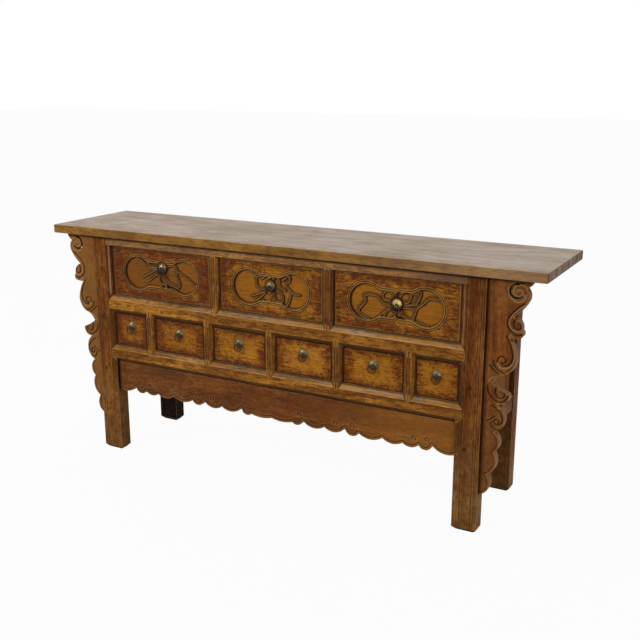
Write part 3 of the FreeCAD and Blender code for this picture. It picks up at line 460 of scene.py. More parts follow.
class Timber:
    """The nodes that every timber starts from: coordinates, grain, lacquer, rubbed edges and corners
    darkened by soiling and painted shade.
    """

    def __init__(self, name, grain_axis, rings=6.0, patch=9.0, shift=0.0):
        sizes = bpy.context.scene.altar_carving
        self.material = bpy.data.materials.new(name)
        self.material.use_nodes = True
        self.tree = self.material.node_tree
        self.shader = self.tree.nodes["Principled BSDF"]
        self.coordinates = self.tree.nodes.new("ShaderNodeTexCoord")
        self.spot = self.coordinates.outputs["Object"]
        self.axes = node(self.tree, "SeparateXYZ", {"Vector": self.spot}).outputs
        order = {"X": "XYZ", "Y": "YXZ", "Z": "ZYX"}[grain_axis]
        turned = node(self.tree, "CombineXYZ", {
            place: self.axes[source] for place, source in zip("XYZ", order)
        })
        moved = node(self.tree, "Mapping", {
            "Vector": turned.outputs[0], "Location": (shift, shift, shift),
        })
        grain = shared_group("Long grain", grain_group)
        lacquer = shared_group("Old lacquer", patina_group)
        wear = shared_group("Edge wear", wear_and_corner_shade_group)
        self.grain = placed_group(self.tree, grain, {"Vector": moved.outputs[0], "Rings": rings})
        self.lacquer = placed_group(self.tree, lacquer, {"Vector": self.spot, "Patch": patch})
        self.wear = placed_group(self.tree, wear, {
            "Vector": self.spot, "Wear Reach": sizes.wear_reach, "Grime Reach": sizes.grime_reach,
        })
        self.facing = placed_group(self.tree, shared_group("Facing", facing_group))

    def share(self, mask, amount):
        """A mask turned down to an amount."""
        return maths(self.tree, "MULTIPLY", mask, amount, clamp=True)

    def layer(self, below, mask, amount, above):
        """A colour laid over another where a mask says; either may be a finish colour's name."""
        below, above = [swatch(given) if isinstance(given, str) else given for given in (below, above)]
        return blend(self.tree, self.share(mask, amount), below, above)

    def coats(self, base, *coats):
        """Layers over one another, each a mask, an amount and a colour."""
        for mask, amount, above in coats:
            base = self.layer(base, mask, amount, above)
        return base

    def total(self, first, *others):
        """Masks added up, each with its weight."""
        whole = self.share(*first)
        for mask, weight in others:
            whole = maths(self.tree, "ADD", whole, self.share(mask, weight))
        return whole

    def along(self, axis, start, end, low=0.0, high=1.0):
        """A mask that fades along one axis of the table, in metres."""
        return fade(self.tree, self.axes[axis], start, end, low, high)

    def band(self, value, start, full, fading, end):
        """A mask that rises and falls again along a value."""
        return self.share(fade(self.tree, value, start, full), fade(self.tree, value, end, fading))

    def carved(self, name):
        """A mask stored on a carved mesh; it is nothing on any other."""
        return node(self.tree, "Attribute", attribute_name=name).outputs["Fac"]

    def spots(self, places, reach):
        """A mask round each of a few places."""
        total = None
        for place in places:
            apart = node(self.tree, "VectorMath", operation="DISTANCE")
            feed(self.tree, apart.inputs[0], self.spot)
            apart.inputs[1].default_value = place
            mask = fade(self.tree, apart.outputs["Value"], reach, reach * 0.3)
            total = mask if total is None else maths(self.tree, "MAXIMUM", total, mask)
        return total

    def bevel_shade(self, base):
        """Painted shade at the back of the bevels round the drawers and on the sides of the openings."""
        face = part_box("lower_drawer_1_front")[0].y
        bevel_back = self.along("Y", face - 0.006, face - 0.002)
        side = self.share(self.facing["End"], self.along("Y", face - 0.012, face - 0.010))
        inside = self.along("Y", face + 0.012, face + 0.011)
        above_foot = self.along("Z", 0.24, 0.26)
        shaded_reveal = self.share(self.share(maths(self.tree, "MAXIMUM", bevel_back, side), inside), above_foot)
        return self.layer(base, shaded_reveal, 0.75, "grime")

    def board_shadow(self, base):
        """A dark line under the top board: painted shadow."""
        top_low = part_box("top_board")[0].z
        return self.layer(base, self.along("Z", top_low - 0.014, top_low - 0.003), 0.85, "grime")

    def finish(self, base, gloss, dull, rubbed=0.7, dirt_and_shade=0.9, relief=0.0004, shine=0.1):
        """Rubbed edges, soiling and painted shade in corners and cuts, rubbed crests with painted
        highlight, roughness and relief over the base colour.
        """
        tree = self.tree
        base = self.coats(
            base,
            (self.grain["Pores"], 0.4, "grime"),
            (self.wear["Edges"], rubbed, "worn_and_lit"),
            # Painted shade and soiling where ambient occlusion finds corners.
            (self.wear["Corners"], dirt_and_shade, "grime"),
            # Rubbed crests and borders of the carving, with painted highlight.
            (self.carved("rim"), 0.8, "rim_wear_and_highlight"),
            # Soiling and painted shade in the carved cuts.
            (self.carved("cut"), 0.95, "grime"),
        )
        feed(tree, self.shader.inputs["Base Color"], base)
        smooth, scuffed, dusty = [(value, value, value, 1) for value in (gloss, dull, 0.9)]
        rough = self.coats(
            smooth,
            (self.lacquer["Patches"], 0.7, scuffed),
            (self.lacquer["Scuffs"], 0.25, scuffed),
            (self.wear["Corners"], 0.8, dusty),
        )
        feed(tree, self.shader.inputs["Roughness"], rough)
        self.shader.inputs["Specular IOR Level"].default_value = shine
        height = maths(tree, "MULTIPLY_ADD", self.grain["Fibre"], 0.6, self.grain["Figure"])
        height = maths(tree, "SUBTRACT", height, self.share(self.grain["Pores"], 0.8))
        height = maths(tree, "ADD", height, self.share(self.lacquer["Mottle"], 0.5))
        soft = node(tree, "Bevel", {"Radius": 0.0012}, samples=4)
        bump = node(tree, "Bump", {
            "Height": height, "Distance": relief, "Strength": 0.8, "Normal": soft.outputs[0],
        })
        feed(tree, self.shader.inputs["Normal"], bump.outputs[0])
        return self.material


def top_timber():
    """Bare worn face, golden front edge and grey end grain."""
    timber = Timber("top_timber", "X", rings=9.0, patch=5.0)
    tree, grain, lacquer = timber.tree, timber.grain, timber.lacquer
    edge = timber.coats(
        "edge_gold",
        (grain["Figure"], 0.35, "rail_dark"),
        (lacquer["Patches"], 0.45, "rail_dark"),
        (grain["Flecks"], 0.45, "rail_dark"),
        (timber.along("X", 0.1, 0.9), 0.4, "board_dark"),
    )
    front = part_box("top_board")[0].y
    ragged = maths(tree, "MULTIPLY_ADD", lacquer["Mottle"], 0.05, timber.axes["Y"])
    lacquered = fade(tree, ragged, front + 0.06, front + 0.004)
    knots = timber.share(timber.spots(TOP_KNOTS, 0.02), grain["Fibre"])
    face = timber.coats(
        "board_face",
        (grain["Figure"], 0.4, "board_dark"),
        (grain["Fibre"], 0.35, "board_dark"),
        (lacquer["Patches"], 0.3, "board_dark"),
        (grain["Flecks"], 0.3, "foot"),
        (lacquered, 0.6, "foot"),
        (knots, 0.45, "rail_dark"),
    )
    end_grain = node(tree, "Mapping", {"Vector": timber.spot, "Scale": (1, 60, 12)})
    streaks = fade(tree, noise(tree, end_grain.outputs[0], 1.0, 4.0, 0.7), 0.35, 0.65)
    end = blend(tree, streaks, swatch("board_dark"), swatch("rail_dark"))
    base = timber.coats(edge, (timber.facing["End"], 1.0, end), (timber.facing["Level"], 1.0, face))
    return timber.finish(base, 0.5, 0.7, rubbed=0.35)


def leg_timber(name, painted_shade):
    """Brown legs, paler and greyer toward the feet, with a few knots and stains, painted shade beside the
    lower drawers, a painted highlight beside the upper ones, and painted shade on the back legs' front
    and inner faces.
    """
    timber = Timber(name, "Z", rings=5.0, patch=7.0, shift=2.0)
    tree, grain, lacquer = timber.tree, timber.grain, timber.lacquer
    low = timber.along("Z", 0.42, 0.1)
    stains = timber.spots(LEG_STAINS, 0.022)
    inner_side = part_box("leg_front_right")[0].x
    from_side = maths(tree, "SUBTRACT", maths(tree, "ABSOLUTE", timber.axes["X"]), inner_side)
    seam = fade(tree, from_side, 0.004, 0.001)
    arris = timber.band(from_side, 0.0185, 0.02, 0.0215, 0.023)
    above_apron = timber.along("Z", 0.25, 0.3)
    lines = timber.share(maths(tree, "MAXIMUM", seam, arris), above_apron)
    bevel = timber.share(fade(tree, from_side, 0.019, 0.016), above_apron)
    # Painted shade on the leg's bevel beside the lower drawers.
    shaded_beside_lower = timber.share(bevel, timber.along("Z", 0.6, 0.59))
    # A pale band on the leg's bevel beside the upper drawers: rubbed lacquer with painted highlight,
    # stronger on the left leg.
    rubbed = timber.band(from_side, 0.010, 0.0125, 0.0155, 0.017)
    lit_beside_upper = timber.share(rubbed, timber.along("Z", 0.62, 0.63))
    lit = timber.along("X", 0.1, -0.1, 0.3, 0.6)
    # Painted shade on the front and inner faces, used on the back legs.
    shaded = maths(tree, "MAXIMUM", timber.facing["Front"], timber.facing["Inner"])
    base = timber.coats(
        "leg",
        (grain["Figure"], 0.65, "leg_dark"),
        (low, 0.5, "foot"),
        (timber.share(lacquer["Mottle"], low), 0.35, "leg_dark"),
        (lacquer["Patches"], 0.35, "leg_dark"),
        (timber.share(grain["Flecks"], timber.along("Z", 0.1, 0.5, 0.4, 1.0)), 0.7, "leg_dark"),
        (grain["Fibre"], 0.25, "rail_dark"),
        (timber.spots(LEG_KNOTS, 0.011), 0.75, "grime"),
        (timber.share(stains, lacquer["Mottle"]), 0.8, "grime"),
        (stains, 0.35, "leg_dark"),
        (lines, 0.8, "grime"),
        (shaded_beside_lower, 0.6, "ribbon"),
        (timber.share(lit_beside_upper, lit), 1.0, "ledge_dust_and_highlight"),
        (shaded, painted_shade, "shade_leg"),
        (lacquer["Mottle"], 0.3, "leg_dark"),
    )
    return timber.finish(timber.board_shadow(timber.bevel_shade(base)), 0.4, 0.62, shine=0.02)


def rail_timber(name, grain_axis, dim=0.0):
    """Golden brown rails with dusty ledges, a painted highlight on their rubbed front arrises and painted
    shade on their undersides; dim ones are browner.
    """
    timber = Timber(name, grain_axis, rings=6.0, patch=8.0, shift=4.0)
    grain, lacquer, facing = timber.grain, timber.lacquer, timber.facing
    base = timber.coats(
        "rail",
        (grain["Figure"], 0.6, "rail_dark"),
        (grain["Flecks"], 0.7, "rail_dark"),
        (lacquer["Mottle"], 0.35, "rail_dark"),
        (lacquer["Patches"], 0.4, "amber_dark"),
        (grain["Fibre"], 0.25, "amber_dark"),
        (timber.along("X", 0.0, 0.65), 0.35, "leg_dark"),
    )
    base = blend(timber.tree, dim, base, swatch("leg_dark"))
    dust = timber.coats(
        "ledge_dust_and_highlight",
        (grain["Figure"], 0.7, "ribbon"),
        (grain["Flecks"], 0.5, "ribbon"),
        (lacquer["Patches"], 0.5, "rail"),
    )
    dusty = timber.share(facing["Slope"], timber.along("X", -0.5, 0.0, 0.35, 1.0))
    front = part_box("mid_rail_front")[0].y
    arris = timber.along("Y", front + 0.003, front + 0.0005)
    # A light line along the front arris of the slopes: rubbed lacquer with painted highlight.
    rubbed_and_lit_arris = timber.share(timber.share(arris, facing["Slope"]), grain["Flecks"])
    base = timber.coats(
        base,
        (timber.along("Z", 0.8, 0.812), 0.22, "board_dark"),
        # Painted shade on the faces that look down.
        (facing["Under"], 0.8, "ribbon"),
        (dusty, 0.85, dust),
        (rubbed_and_lit_arris, 0.75, "worn_and_lit"),
    )
    return timber.finish(timber.board_shadow(timber.bevel_shade(base)), 0.42, 0.64, shine=0.05)


def pull_middle(drawer):
    """A point on a drawer's face just below its boss's middle, where the ring rests."""
    low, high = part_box(drawer + "_boss")
    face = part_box(drawer + "_front")[0].y
    return ((low.x + high.x) / 2, face, (low.z + high.z) / 2 - 0.008)


def drawer_timber():
    """Amber lacquer, mottled dark toward the edges, smooth golden grounds."""
    timber = Timber("drawer_timber", "X", rings=4.0, patch=24.0, shift=6.0)
    tree, grain, lacquer = timber.tree, timber.grain, timber.lacquer
    across = node(tree, "SeparateXYZ", {"Vector": timber.coordinates.outputs["Generated"]}).outputs
    sides = [
        maths(tree, "ABSOLUTE", maths(tree, "MULTIPLY_ADD", across[axis], 2.0, -1.0)) for axis in "XZ"
    ]
    margin = fade(tree, maths(tree, "MAXIMUM", *sides), 0.4, 1.0)
    dim = timber.along("X", 0.0, -0.6)
    red = timber.total((lacquer["Patches"], 0.45), (margin, 0.4), (grain["Figure"], 0.2))
    dark = timber.total((lacquer["Mottle"], 0.45), (margin, 0.45), (grain["Flecks"], 0.45), (dim, 0.22))
    pulls = [pull_middle(drawer) for drawer in LARGE_DRAWERS + SMALL_DRAWERS]
    ground = timber.coats(
        "ground",
        (grain["Fibre"], 0.35, "amber_dark"),
        (grain["Flecks"], 0.2, "amber_dark"),
        (lacquer["Patches"], 0.25, "amber"),
        (dim, 0.5, "wing_dark"),
    )
    tied = timber.layer("ribbon", grain["Flecks"], 0.5, "amber_dark")
    base = timber.coats(
        "amber",
        (grain["Figure"], 0.4, "rail"),
        (fade(tree, red, 0.25, 1.0), 0.85, "stain"),
        (fade(tree, dark, 0.25, 1.15), 0.9, "amber_dark"),
        (dim, 0.25, "stain"),
        (grain["Fibre"], 0.25, "amber_dark"),
        (timber.spots(pulls, 0.034), 0.45, "stain"),
        (timber.spots(DRAWER_PEGS, 0.009), 0.8, "grime"),
        (timber.carved("ground"), 0.95, ground),
        (timber.carved("ribbon"), 0.85, tied),
    )
    return timber.finish(base, 0.32, 0.52, rubbed=0.2, dirt_and_shade=0.65, relief=0.0007, shine=0.05)


def wing_timber():
    """Orange and red-brown streaks that run up the wing."""
    timber = Timber("wing_timber", "Z", rings=5.0, patch=8.0, shift=8.0)
    tree, grain, lacquer = timber.tree, timber.grain, timber.lacquer
    left = timber.along("X", 0.1, -0.1)
    side = maths(tree, "MAXIMUM", timber.facing["End"], timber.facing["Slope"])
    leg_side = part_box("leg_front_right")[1].x
    apart = maths(tree, "ABSOLUTE", timber.axes["X"])
    base = timber.coats(
        "wing",
        (grain["Figure"], 0.6, "wing_dark"),
        (grain["Flecks"], 0.4, "wing_dark"),
        (lacquer["Patches"], 0.25, "foot"),
        (lacquer["Mottle"], 0.4, "wing_dark"),
        (grain["Fibre"], 0.25, "wing_dark"),
        (timber.share(grain["Figure"], left), 0.3, "edge_gold"),
        (side, 0.3, "foot"),
        (fade(tree, apart, leg_side + 0.006, leg_side + 0.001), 0.85, "grime"),
    )
    return timber.finish(timber.board_shadow(base), 0.38, 0.6, rubbed=0.45, shine=0.05)


def apron_timber():
    """Reddish dark board."""
    timber = Timber("apron_timber", "X", rings=6.0, patch=7.0, shift=10.0)
    grain, lacquer = timber.grain, timber.lacquer
    base = timber.coats(
        "apron",
        (grain["Figure"], 0.6, "apron_dark"),
        (grain["Flecks"], 0.65, "apron_dark"),
        (lacquer["Patches"], 0.3, "wing"),
        (grain["Fibre"], 0.25, "apron_dark"),
        (lacquer["Mottle"], 0.45, "stain"),
        (timber.along("X", 0.1, 0.6), 0.18, "rail"),
        (timber.along("X", 0.0, -0.5), 0.2, "apron_dark"),
    )
    return timber.finish(base, 0.4, 0.62, shine=0.04)


def panel_timber():
    """Plain weathered boards, side by side, at the ends and the back."""
    timber = Timber("panel_timber", "Z", rings=7.0, patch=8.0, shift=12.0)
    tree, grain = timber.tree, timber.grain
    across = maths(tree, "ADD", timber.axes["X"], timber.axes["Y"])
    board = maths(tree, "SNAP", across, BACK_BOARD_WIDTH)
    tone = node(tree, "TexWhiteNoise", {"W": board}, noise_dimensions="1D").outputs["Value"]
    from_seam = maths(tree, "PINGPONG", across, BACK_BOARD_WIDTH / 2)
    base = timber.coats(
        "leg",
        (grain["Figure"], 0.55, "apron_dark"),
        (grain["Flecks"], 0.4, "leg_dark"),
        (timber.lacquer["Patches"], 0.3, "foot"),
        (tone, 0.45, "wing_dark"),
        (fade(tree, from_seam, 0.0022, 0.0008), 0.9, "grime"),
    )
    return timber.finish(base, 0.5, 0.72, shine=0.02)


def inner_timber():
    """Bare pale boards that the lacquer never reached."""
    timber = Timber("inner_timber", "Y", rings=6.0, patch=6.0, shift=14.0)
    base = timber.coats(
        "inner",
        (timber.grain["Figure"], 0.6, "foot"),
        (timber.grain["Flecks"], 0.4, "rail_dark"),
        (timber.grain["Fibre"], 0.35, "rail_dark"),
        (timber.lacquer["Patches"], 0.35, "board_dark"),
    )
    return timber.finish(base, 0.62, 0.8)


def old_brass(name, dullness, film_name):
    """Brass under a dull film, with painted shade on the faces that look down and in its corners."""
    material = bpy.data.materials.new(name)
    material.use_nodes = True
    tree = material.node_tree
    shader = tree.nodes["Principled BSDF"]
    spot = tree.nodes.new("ShaderNodeTexCoord").outputs["Object"]
    patchy = noise(tree, spot, 90.0, 4.0, 0.6)
    film = fade(tree, patchy, 0.62 - dullness * 0.5, 0.8 - dullness * 0.5)
    wear = placed_group(tree, shared_group("Edge wear", wear_and_corner_shade_group), {
        "Vector": spot, "Wear Reach": 0.0012, "Grime Reach": 0.006,
    })
    base = blend(tree, film, swatch("brass"), swatch(film_name))
    # Painted shade and soiling in the brass's corners.
    base = blend(tree, maths(tree, "MULTIPLY", wear["Corners"], 0.8), base, swatch("grime"))
    normal = node(tree, "NewGeometry").outputs["Normal"]
    upward = node(tree, "SeparateXYZ", {"Vector": normal}).outputs["Z"]
    # Painted shade: darker as the face turns down.
    base = blend(tree, fade(tree, upward, 0.3, -0.5, 0.0, 0.8), base, swatch("grime"))
    feed(tree, shader.inputs["Base Color"], base)
    bare = maths(tree, "SUBTRACT", 1.0, maths(tree, "MULTIPLY", film, 0.45))
    feed(tree, shader.inputs["Metallic"], bare)
    pits = noise(tree, spot, 420.0, 3.0, 0.6)
    rough = fade(tree, maths(tree, "ADD", film, pits), 0.3, 1.5, 0.22, 0.46)
    feed(tree, shader.inputs["Roughness"], rough)
    bump = node(tree, "Bump", {"Height": pits, "Distance": 0.0002, "Strength": 0.5})
    feed(tree, shader.inputs["Normal"], bump.outputs[0])
    return material


# Carving

def smooth_path(points, steps=9):
    """A smooth curve through the points, as a row of close points."""
    spots = np.array(points, float)
    if len(spots) < 3:
        return spots
    ends = np.vstack((2 * spots[0] - spots[1], spots, 2 * spots[-1] - spots[-2]))
    curve = []
    for first, second, third, fourth in zip(ends, ends[1:], ends[2:], ends[3:]):
        for share in np.arange(steps) / steps:
            bend = (2 * first - 5 * second + 4 * third - fourth) * share ** 2
            twist = (3 * second - first - 3 * third + fourth) * share ** 3
            curve.append(0.5 * (2 * second + (third - first) * share + bend + twist))
    curve.append(spots[-1])
    return np.array(curve)


def path_distance(curve, across, up):
    """How far each place is from a row of points joined by straight runs."""
    nearest = np.full(across.shape, np.inf)
    for start, end in zip(curve, curve[1:]):
        run = end - start
        span = max(float(run @ run), 1e-9)
        share = np.clip(((across - start[0]) * run[0] + (up - start[1]) * run[1]) / span, 0, 1)
        gap = np.hypot(across - start[0] - share * run[0], up - start[1] - share * run[1])
        nearest = np.minimum(nearest, gap)
    return nearest


def step(value, start, end):
    """A smooth step from nothing to one."""
    share = np.clip((value - start) / (end - start), 0, 1)
    return share * share * (3 - 2 * share)


def ridge(value, place, width):
    """A smooth hump: one where the value is at the place, less away from it."""
    return np.exp(-((value - place) / width) ** 2)


def hand_ripple(across, up):
    """Slight unevenness of a surface planed by hand, in millimetres."""
    long_waves = np.sin(across * 0.021 + 1.3) * np.sin(up * 0.047 + 0.4)
    short_waves = np.sin(across * 0.083 + up * 0.031) * np.sin(up * 0.11 - across * 0.017)
    return 0.12 * long_waves + 0.08 * short_waves


def gourd_distance(across, up, lobe_place):
    """Distance outside the cartouche's outline, less than nothing inside it."""
    lobes = np.hypot(np.abs(across) - lobe_place, up) - LOBE_RADIUS
    cusp = WAIST_CUSP * ridge(across, 0, WAIST_CUSP)
    waist = np.maximum(np.abs(up) - WAIST_HALF + cusp, np.abs(across) - lobe_place)
    overlap = np.clip(WAIST_BLEND - np.abs(lobes - waist), 0, None) / WAIST_BLEND
    return np.minimum(lobes, waist) - overlap ** 2 * WAIST_BLEND / 4


def cartouche(across, up, half_length, ribbons, pull):
    """Depth of the carving and its masks, with painted light and shade, from places about the drawer's
    middle.
    """
    lobe_place = half_length - END_TO_CARTOUCHE - LOBE_RADIUS
    outside = gourd_distance(across, up, lobe_place)
    depth = 1.8 * ridge(outside, 1.4, 1.5)
    depth += 1.8 * ridge(outside, -4.9, 1.3)
    inside = step(-outside, RIM_WIDTH - 1, RIM_WIDTH + 1.6)
    crown = step(-outside, RIM_WIDTH, RIM_WIDTH + 26)
    depth += inside * (GROUND_DEPTH + 0.6 - 1.4 * crown)
    beyond = np.full(across.shape, np.inf)
    for half_width, points in ribbons:
        gap = path_distance(smooth_path(points), across, up)
        half_width = half_width * RIBBON_SLIMNESS
        beyond = np.minimum(beyond, gap - half_width)
        share = np.clip(gap / half_width, 0, 1)
        height = np.where(gap < half_width, 0.3 + 1.8 * (1 - share ** 2), 0.3 + 2.4 * (gap - half_width))
        depth = np.where(inside > 0.05, np.minimum(depth, height), depth)
    from_pull = np.hypot(across - pull[0], up - pull[1])
    depth = np.minimum(depth, np.clip((from_pull - SEAT_RADIUS) * 3, 0, None))
    within = -outside > RIM_WIDTH - 1
    # Painted shadow: each lobe's inner wall is darkened, wider and darker on its left side, away from the
    # lamp.
    leftward = np.clip(0.5 - 0.5 * (across - np.sign(across) * lobe_place) / LOBE_RADIUS, 0, 1)
    wall_shadow = (0.5 + 0.5 * leftward) * ridge(outside, -RIM_WIDTH - 2.4, 2 + 2.4 * leftward)
    # Painted light: slopes of the relief that face up and to the left, toward the lamp, get painted
    # highlight; those that face away get painted shade.
    facing_lamp = np.gradient(depth, up[:, 0], axis=0) - 0.5 * np.gradient(depth, across[0], axis=1)
    lit = step(facing_lamp, 0.1, 0.8)
    unlit = step(-facing_lamp, 0.1, 0.8)
    ribbon = step(beyond, 0.5, -0.5) * within
    foot = step(beyond, -0.6, 0.6) * step(beyond, 5.0, 1.8) * within * (1 - 0.4 * lit)
    knot = ridge(from_pull, SEAT_RADIUS + 2, 4)
    # The cut mask: soiling in the outline grooves and the knot, with painted shadow on the inner walls,
    # round the ribbons and on their unlit sides.
    cut = np.maximum.reduce((
        0.65 * ridge(outside, 2.2, 1.4), ridge(outside, -4.6, 1.7),
        wall_shadow * step(beyond, -1, 1), foot, 0.9 * knot, 0.6 * unlit * ribbon,
    ))
    # The rim mask: rubbed rims and ribbon crests, with painted highlight where they face the lamp.
    rims = 0.6 * ridge(outside, -1.3, 1.3) + ridge(outside, -8.0, 1.5)
    rims = rims * (0.65 + 0.35 * lit)
    crest = 0.25 * ridge(beyond, -1.6, 1.2) * within + 0.45 * lit * ribbon
    return {
        "depth": depth, "cut": cut, "rim": np.maximum(rims, crest) * (1 - cut),
        "ground": inside * step(beyond, 0, 2), "ribbon": ribbon,
    }


def mesh_object(name, points, faces):
    mesh = bpy.data.meshes.new(name)
    mesh.from_pydata(points, [], faces)
    mesh.update()
    made = bpy.data.objects.new(name, mesh)
    bpy.context.scene.collection.objects.link(made)
    return made


def store_mask(made, name, values):
    mask = made.data.attributes.new(name, "FLOAT", "POINT")
    mask.data.foreach_set("value", np.clip(values, 0, 1).astype(np.float32))


def put_in_place(made, cad_node, body, material):
    """A new piece takes a node's place, body and finish."""
    made.data.materials.append(material)
    made.data.polygons.foreach_set("use_smooth", [True] * len(made.data.polygons))
    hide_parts(cad_node)
    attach(made, body)


def carved_front(drawer, material):
    """A large drawer's front board, carved in its face."""
    spacing = bpy.context.scene.altar_carving.drawer_grid * 1
    low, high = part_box(drawer + "_front")
    boss_low, boss_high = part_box(drawer + "_boss")
    columns = int((high.x - low.x) / spacing) + 1
    rows = int((high.z - low.z) / spacing) + 1
    across, up = np.meshgrid(np.linspace(low.x, high.x, columns), np.linspace(low.z, high.z, rows))
    middle = (low + high) / 2
    pull = ((boss_low + boss_high) / 2 - middle) / MM
    side = (across - middle.x) / MM
    rise = (up - middle.z) / MM
    half_length = (high.x - low.x) / 2 / MM
    half_height = (high.z - low.z) / 2 / MM
    masks = cartouche(side, rise, half_length, RIBBONS[drawer], (pull.x, pull.z))
    depth = masks.pop("depth")
    border = np.minimum(half_length - np.abs(side), half_height - np.abs(rise))
    curl = np.clip(FRONT_ROUNDING - border, 0, FRONT_ROUNDING)
    depth += FRONT_ROUNDING - np.sqrt(FRONT_ROUNDING ** 2 - curl ** 2)
    depth = np.maximum(depth + 0.2 + hand_ripple(side, rise), 0)
    # A light line along the drawer front's rounded border: rubbed lacquer with painted highlight.
    masks["rim"] = np.maximum(masks["rim"], step(border, 3.2, 0.8) * 0.9)
    front = np.stack((across, low.y + depth * MM, up), axis=-1).reshape(-1, 3)
    index = np.arange(rows * columns).reshape(rows, columns)
    quads = np.stack((index[:-1, :-1], index[:-1, 1:], index[1:, 1:], index[1:, :-1]), axis=-1)
    loop = np.concatenate((index[0, :-1], index[:-1, -1], index[-1, :0:-1], index[:0:-1, 0]))
    back = front[loop].copy()
    back[:, 1] = high.y
    count = len(loop)
    behind = np.arange(count) + rows * columns
    faces = [tuple(quad) for quad in quads.reshape(-1, 4)]
    for place in range(count):
        after = (place + 1) % count
        faces.append((loop[after], loop[place], behind[place], behind[after]))
    faces.append(tuple(behind[::-1]))
    made = mesh_object(drawer + "_carved_front", np.vstack((front, back)).tolist(), faces)
    for name, values in masks.items():
        store_mask(made, name, np.concatenate((values.reshape(-1), np.zeros(count))))
    put_in_place(made, drawer + "_front", drawer, material)
    edges = made.modifiers.new("Crisp arrises", "WEIGHTED_NORMAL")
    edges.keep_sharp = True


def fine_copy(cad_node, name, voxel):
    """A node's shape with an even fine surface that can be carved."""
    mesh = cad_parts[cad_node].data.copy()
    joined = bmesh.new()
    joined.from_mesh(mesh)
    bmesh.ops.remove_doubles(joined, verts=joined.verts, dist=0.00001)
    joined.to_mesh(mesh)
    joined.free()
    rough = bpy.data.objects.new(name + "_rough", mesh)
    bpy.context.scene.collection.objects.link(rough)
    remesh = rough.modifiers.new("Even surface", "REMESH")
    remesh.mode = "VOXEL"
    remesh.voxel_size = voxel * 1
    bpy.context.view_layer.update()
    graph = bpy.context.evaluated_depsgraph_get()
    fine = bpy.data.meshes.new_from_object(rough.evaluated_get(graph))
    fine.name = name
    fine.materials.clear()
    bpy.data.objects.remove(rough)
    made = bpy.data.objects.new(name, fine)
    bpy.context.scene.collection.objects.link(made)
    return made


def front_outline(cad_node, keep_run):
    """Runs of the front face's outline, in millimetres, that pass a test."""
    low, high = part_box(cad_node)
    shape = bmesh.new()
    shape.from_mesh(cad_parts[cad_node].data)
    bmesh.ops.remove_doubles(shape, verts=shape.verts, dist=0.00001)
    runs = []
    for edge in shape.edges:
        facing = [face.normal.y < -0.9 for face in edge.link_faces]
        if len(facing) == 2 and facing[0] != facing[1] and edge.verts[0].co.y < low.y + 2 * MM:
            run = np.array([[end.co.x / MM, end.co.z / MM] for end in edge.verts])
            if keep_run(run):
                runs.append(run)
    shape.free()
    return runs


def outline_distance(runs, across, up):
    nearest = np.full(across.shape, np.inf)
    for run in runs:
        nearest = np.minimum(nearest, path_distance(run, across, up))
    return nearest


def vertex_places(made):
    places = np.empty(len(made.data.vertices) * 3)
    made.data.vertices.foreach_get("co", places)
    return places.reshape(-1, 3)


def carve_face(made, low, depth_and_masks):
    """Move the front face of a fine copy back by the carving's depth and store its masks."""
    places = vertex_places(made)
    front = places[:, 1] < low.y + 0.9 * MM
    depth, cut, rim = depth_and_masks(places[front, 0] / MM, places[front, 2] / MM)
    places[front, 1] += np.maximum(depth, -0.5) * MM
    made.data.vertices.foreach_set("co", places.reshape(-1))
    for name, values in (("cut", cut), ("rim", rim)):
        whole = np.zeros(len(places))
        whole[front] = values
        store_mask(made, name, whole)
    made.data.update()


def carved_wing(cad_node, material):
    """A wing with its scrolls cut in relief."""
    sizes = bpy.context.scene.altar_carving
    low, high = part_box(cad_node)
    side = 1 if high.x > 0 else -1
    root = (low.x if side > 0 else -high.x) / MM
    edges = front_outline(
        cad_node, lambda run: abs(side * run - root)[:, 0].min() > 1 and run[:, 1].max() < high.z / MM - 1
    )
    groove_half = sizes.groove_width / MM
    groove_depth = sizes.groove_depth / MM
    rim_half = sizes.rim_half / MM

    def carving(x, z):
        out = side * x - root
        groove = np.full(x.shape, np.inf)
        rim = np.full(x.shape, np.inf)
        for line in WING_GROOVES:
            groove = np.minimum(groove, path_distance(smooth_path(line), out, z))
        for line in WING_RIMS:
            rim = np.minimum(rim, path_distance(smooth_path(line), out, z))
        edge = outline_distance(edges, x, z)
        lobe_line = np.abs(edge - LOBE_LINE_INSET)
        groove = np.where(z < LOBES_BELOW, np.minimum(groove, lobe_line + 1.2), groove)
        # The cut mask darkens the grooves with soiling and painted shade.
        cut = ridge(groove, 0, groove_half)
        raised = ridge(rim, 0, rim_half) * (1 - cut)
        worn_edge = ridge(edge, 0, WORN_EDGE)
        depth = 1.4 + groove_depth * cut - 1.3 * raised + 0.8 * worn_edge + hand_ripple(x, z)
        return depth, cut, np.maximum(0.55 * raised, 0.5 * worn_edge)

    made = fine_copy(cad_node, cad_node + "_carved", sizes.wing_voxel)
    carve_face(made, low, carving)
    put_in_place(made, cad_node, "frame", material)


def curl_path(across, up, turn):
    """A small scroll: an open hook that winds in."""
    angles = np.linspace(-0.1 * math.tau, 0.75 * math.tau, 12)
    radii = np.linspace(10, 3, 12)
    return np.stack((across + turn * radii * np.cos(angles), up + radii * np.sin(angles)), axis=-1)


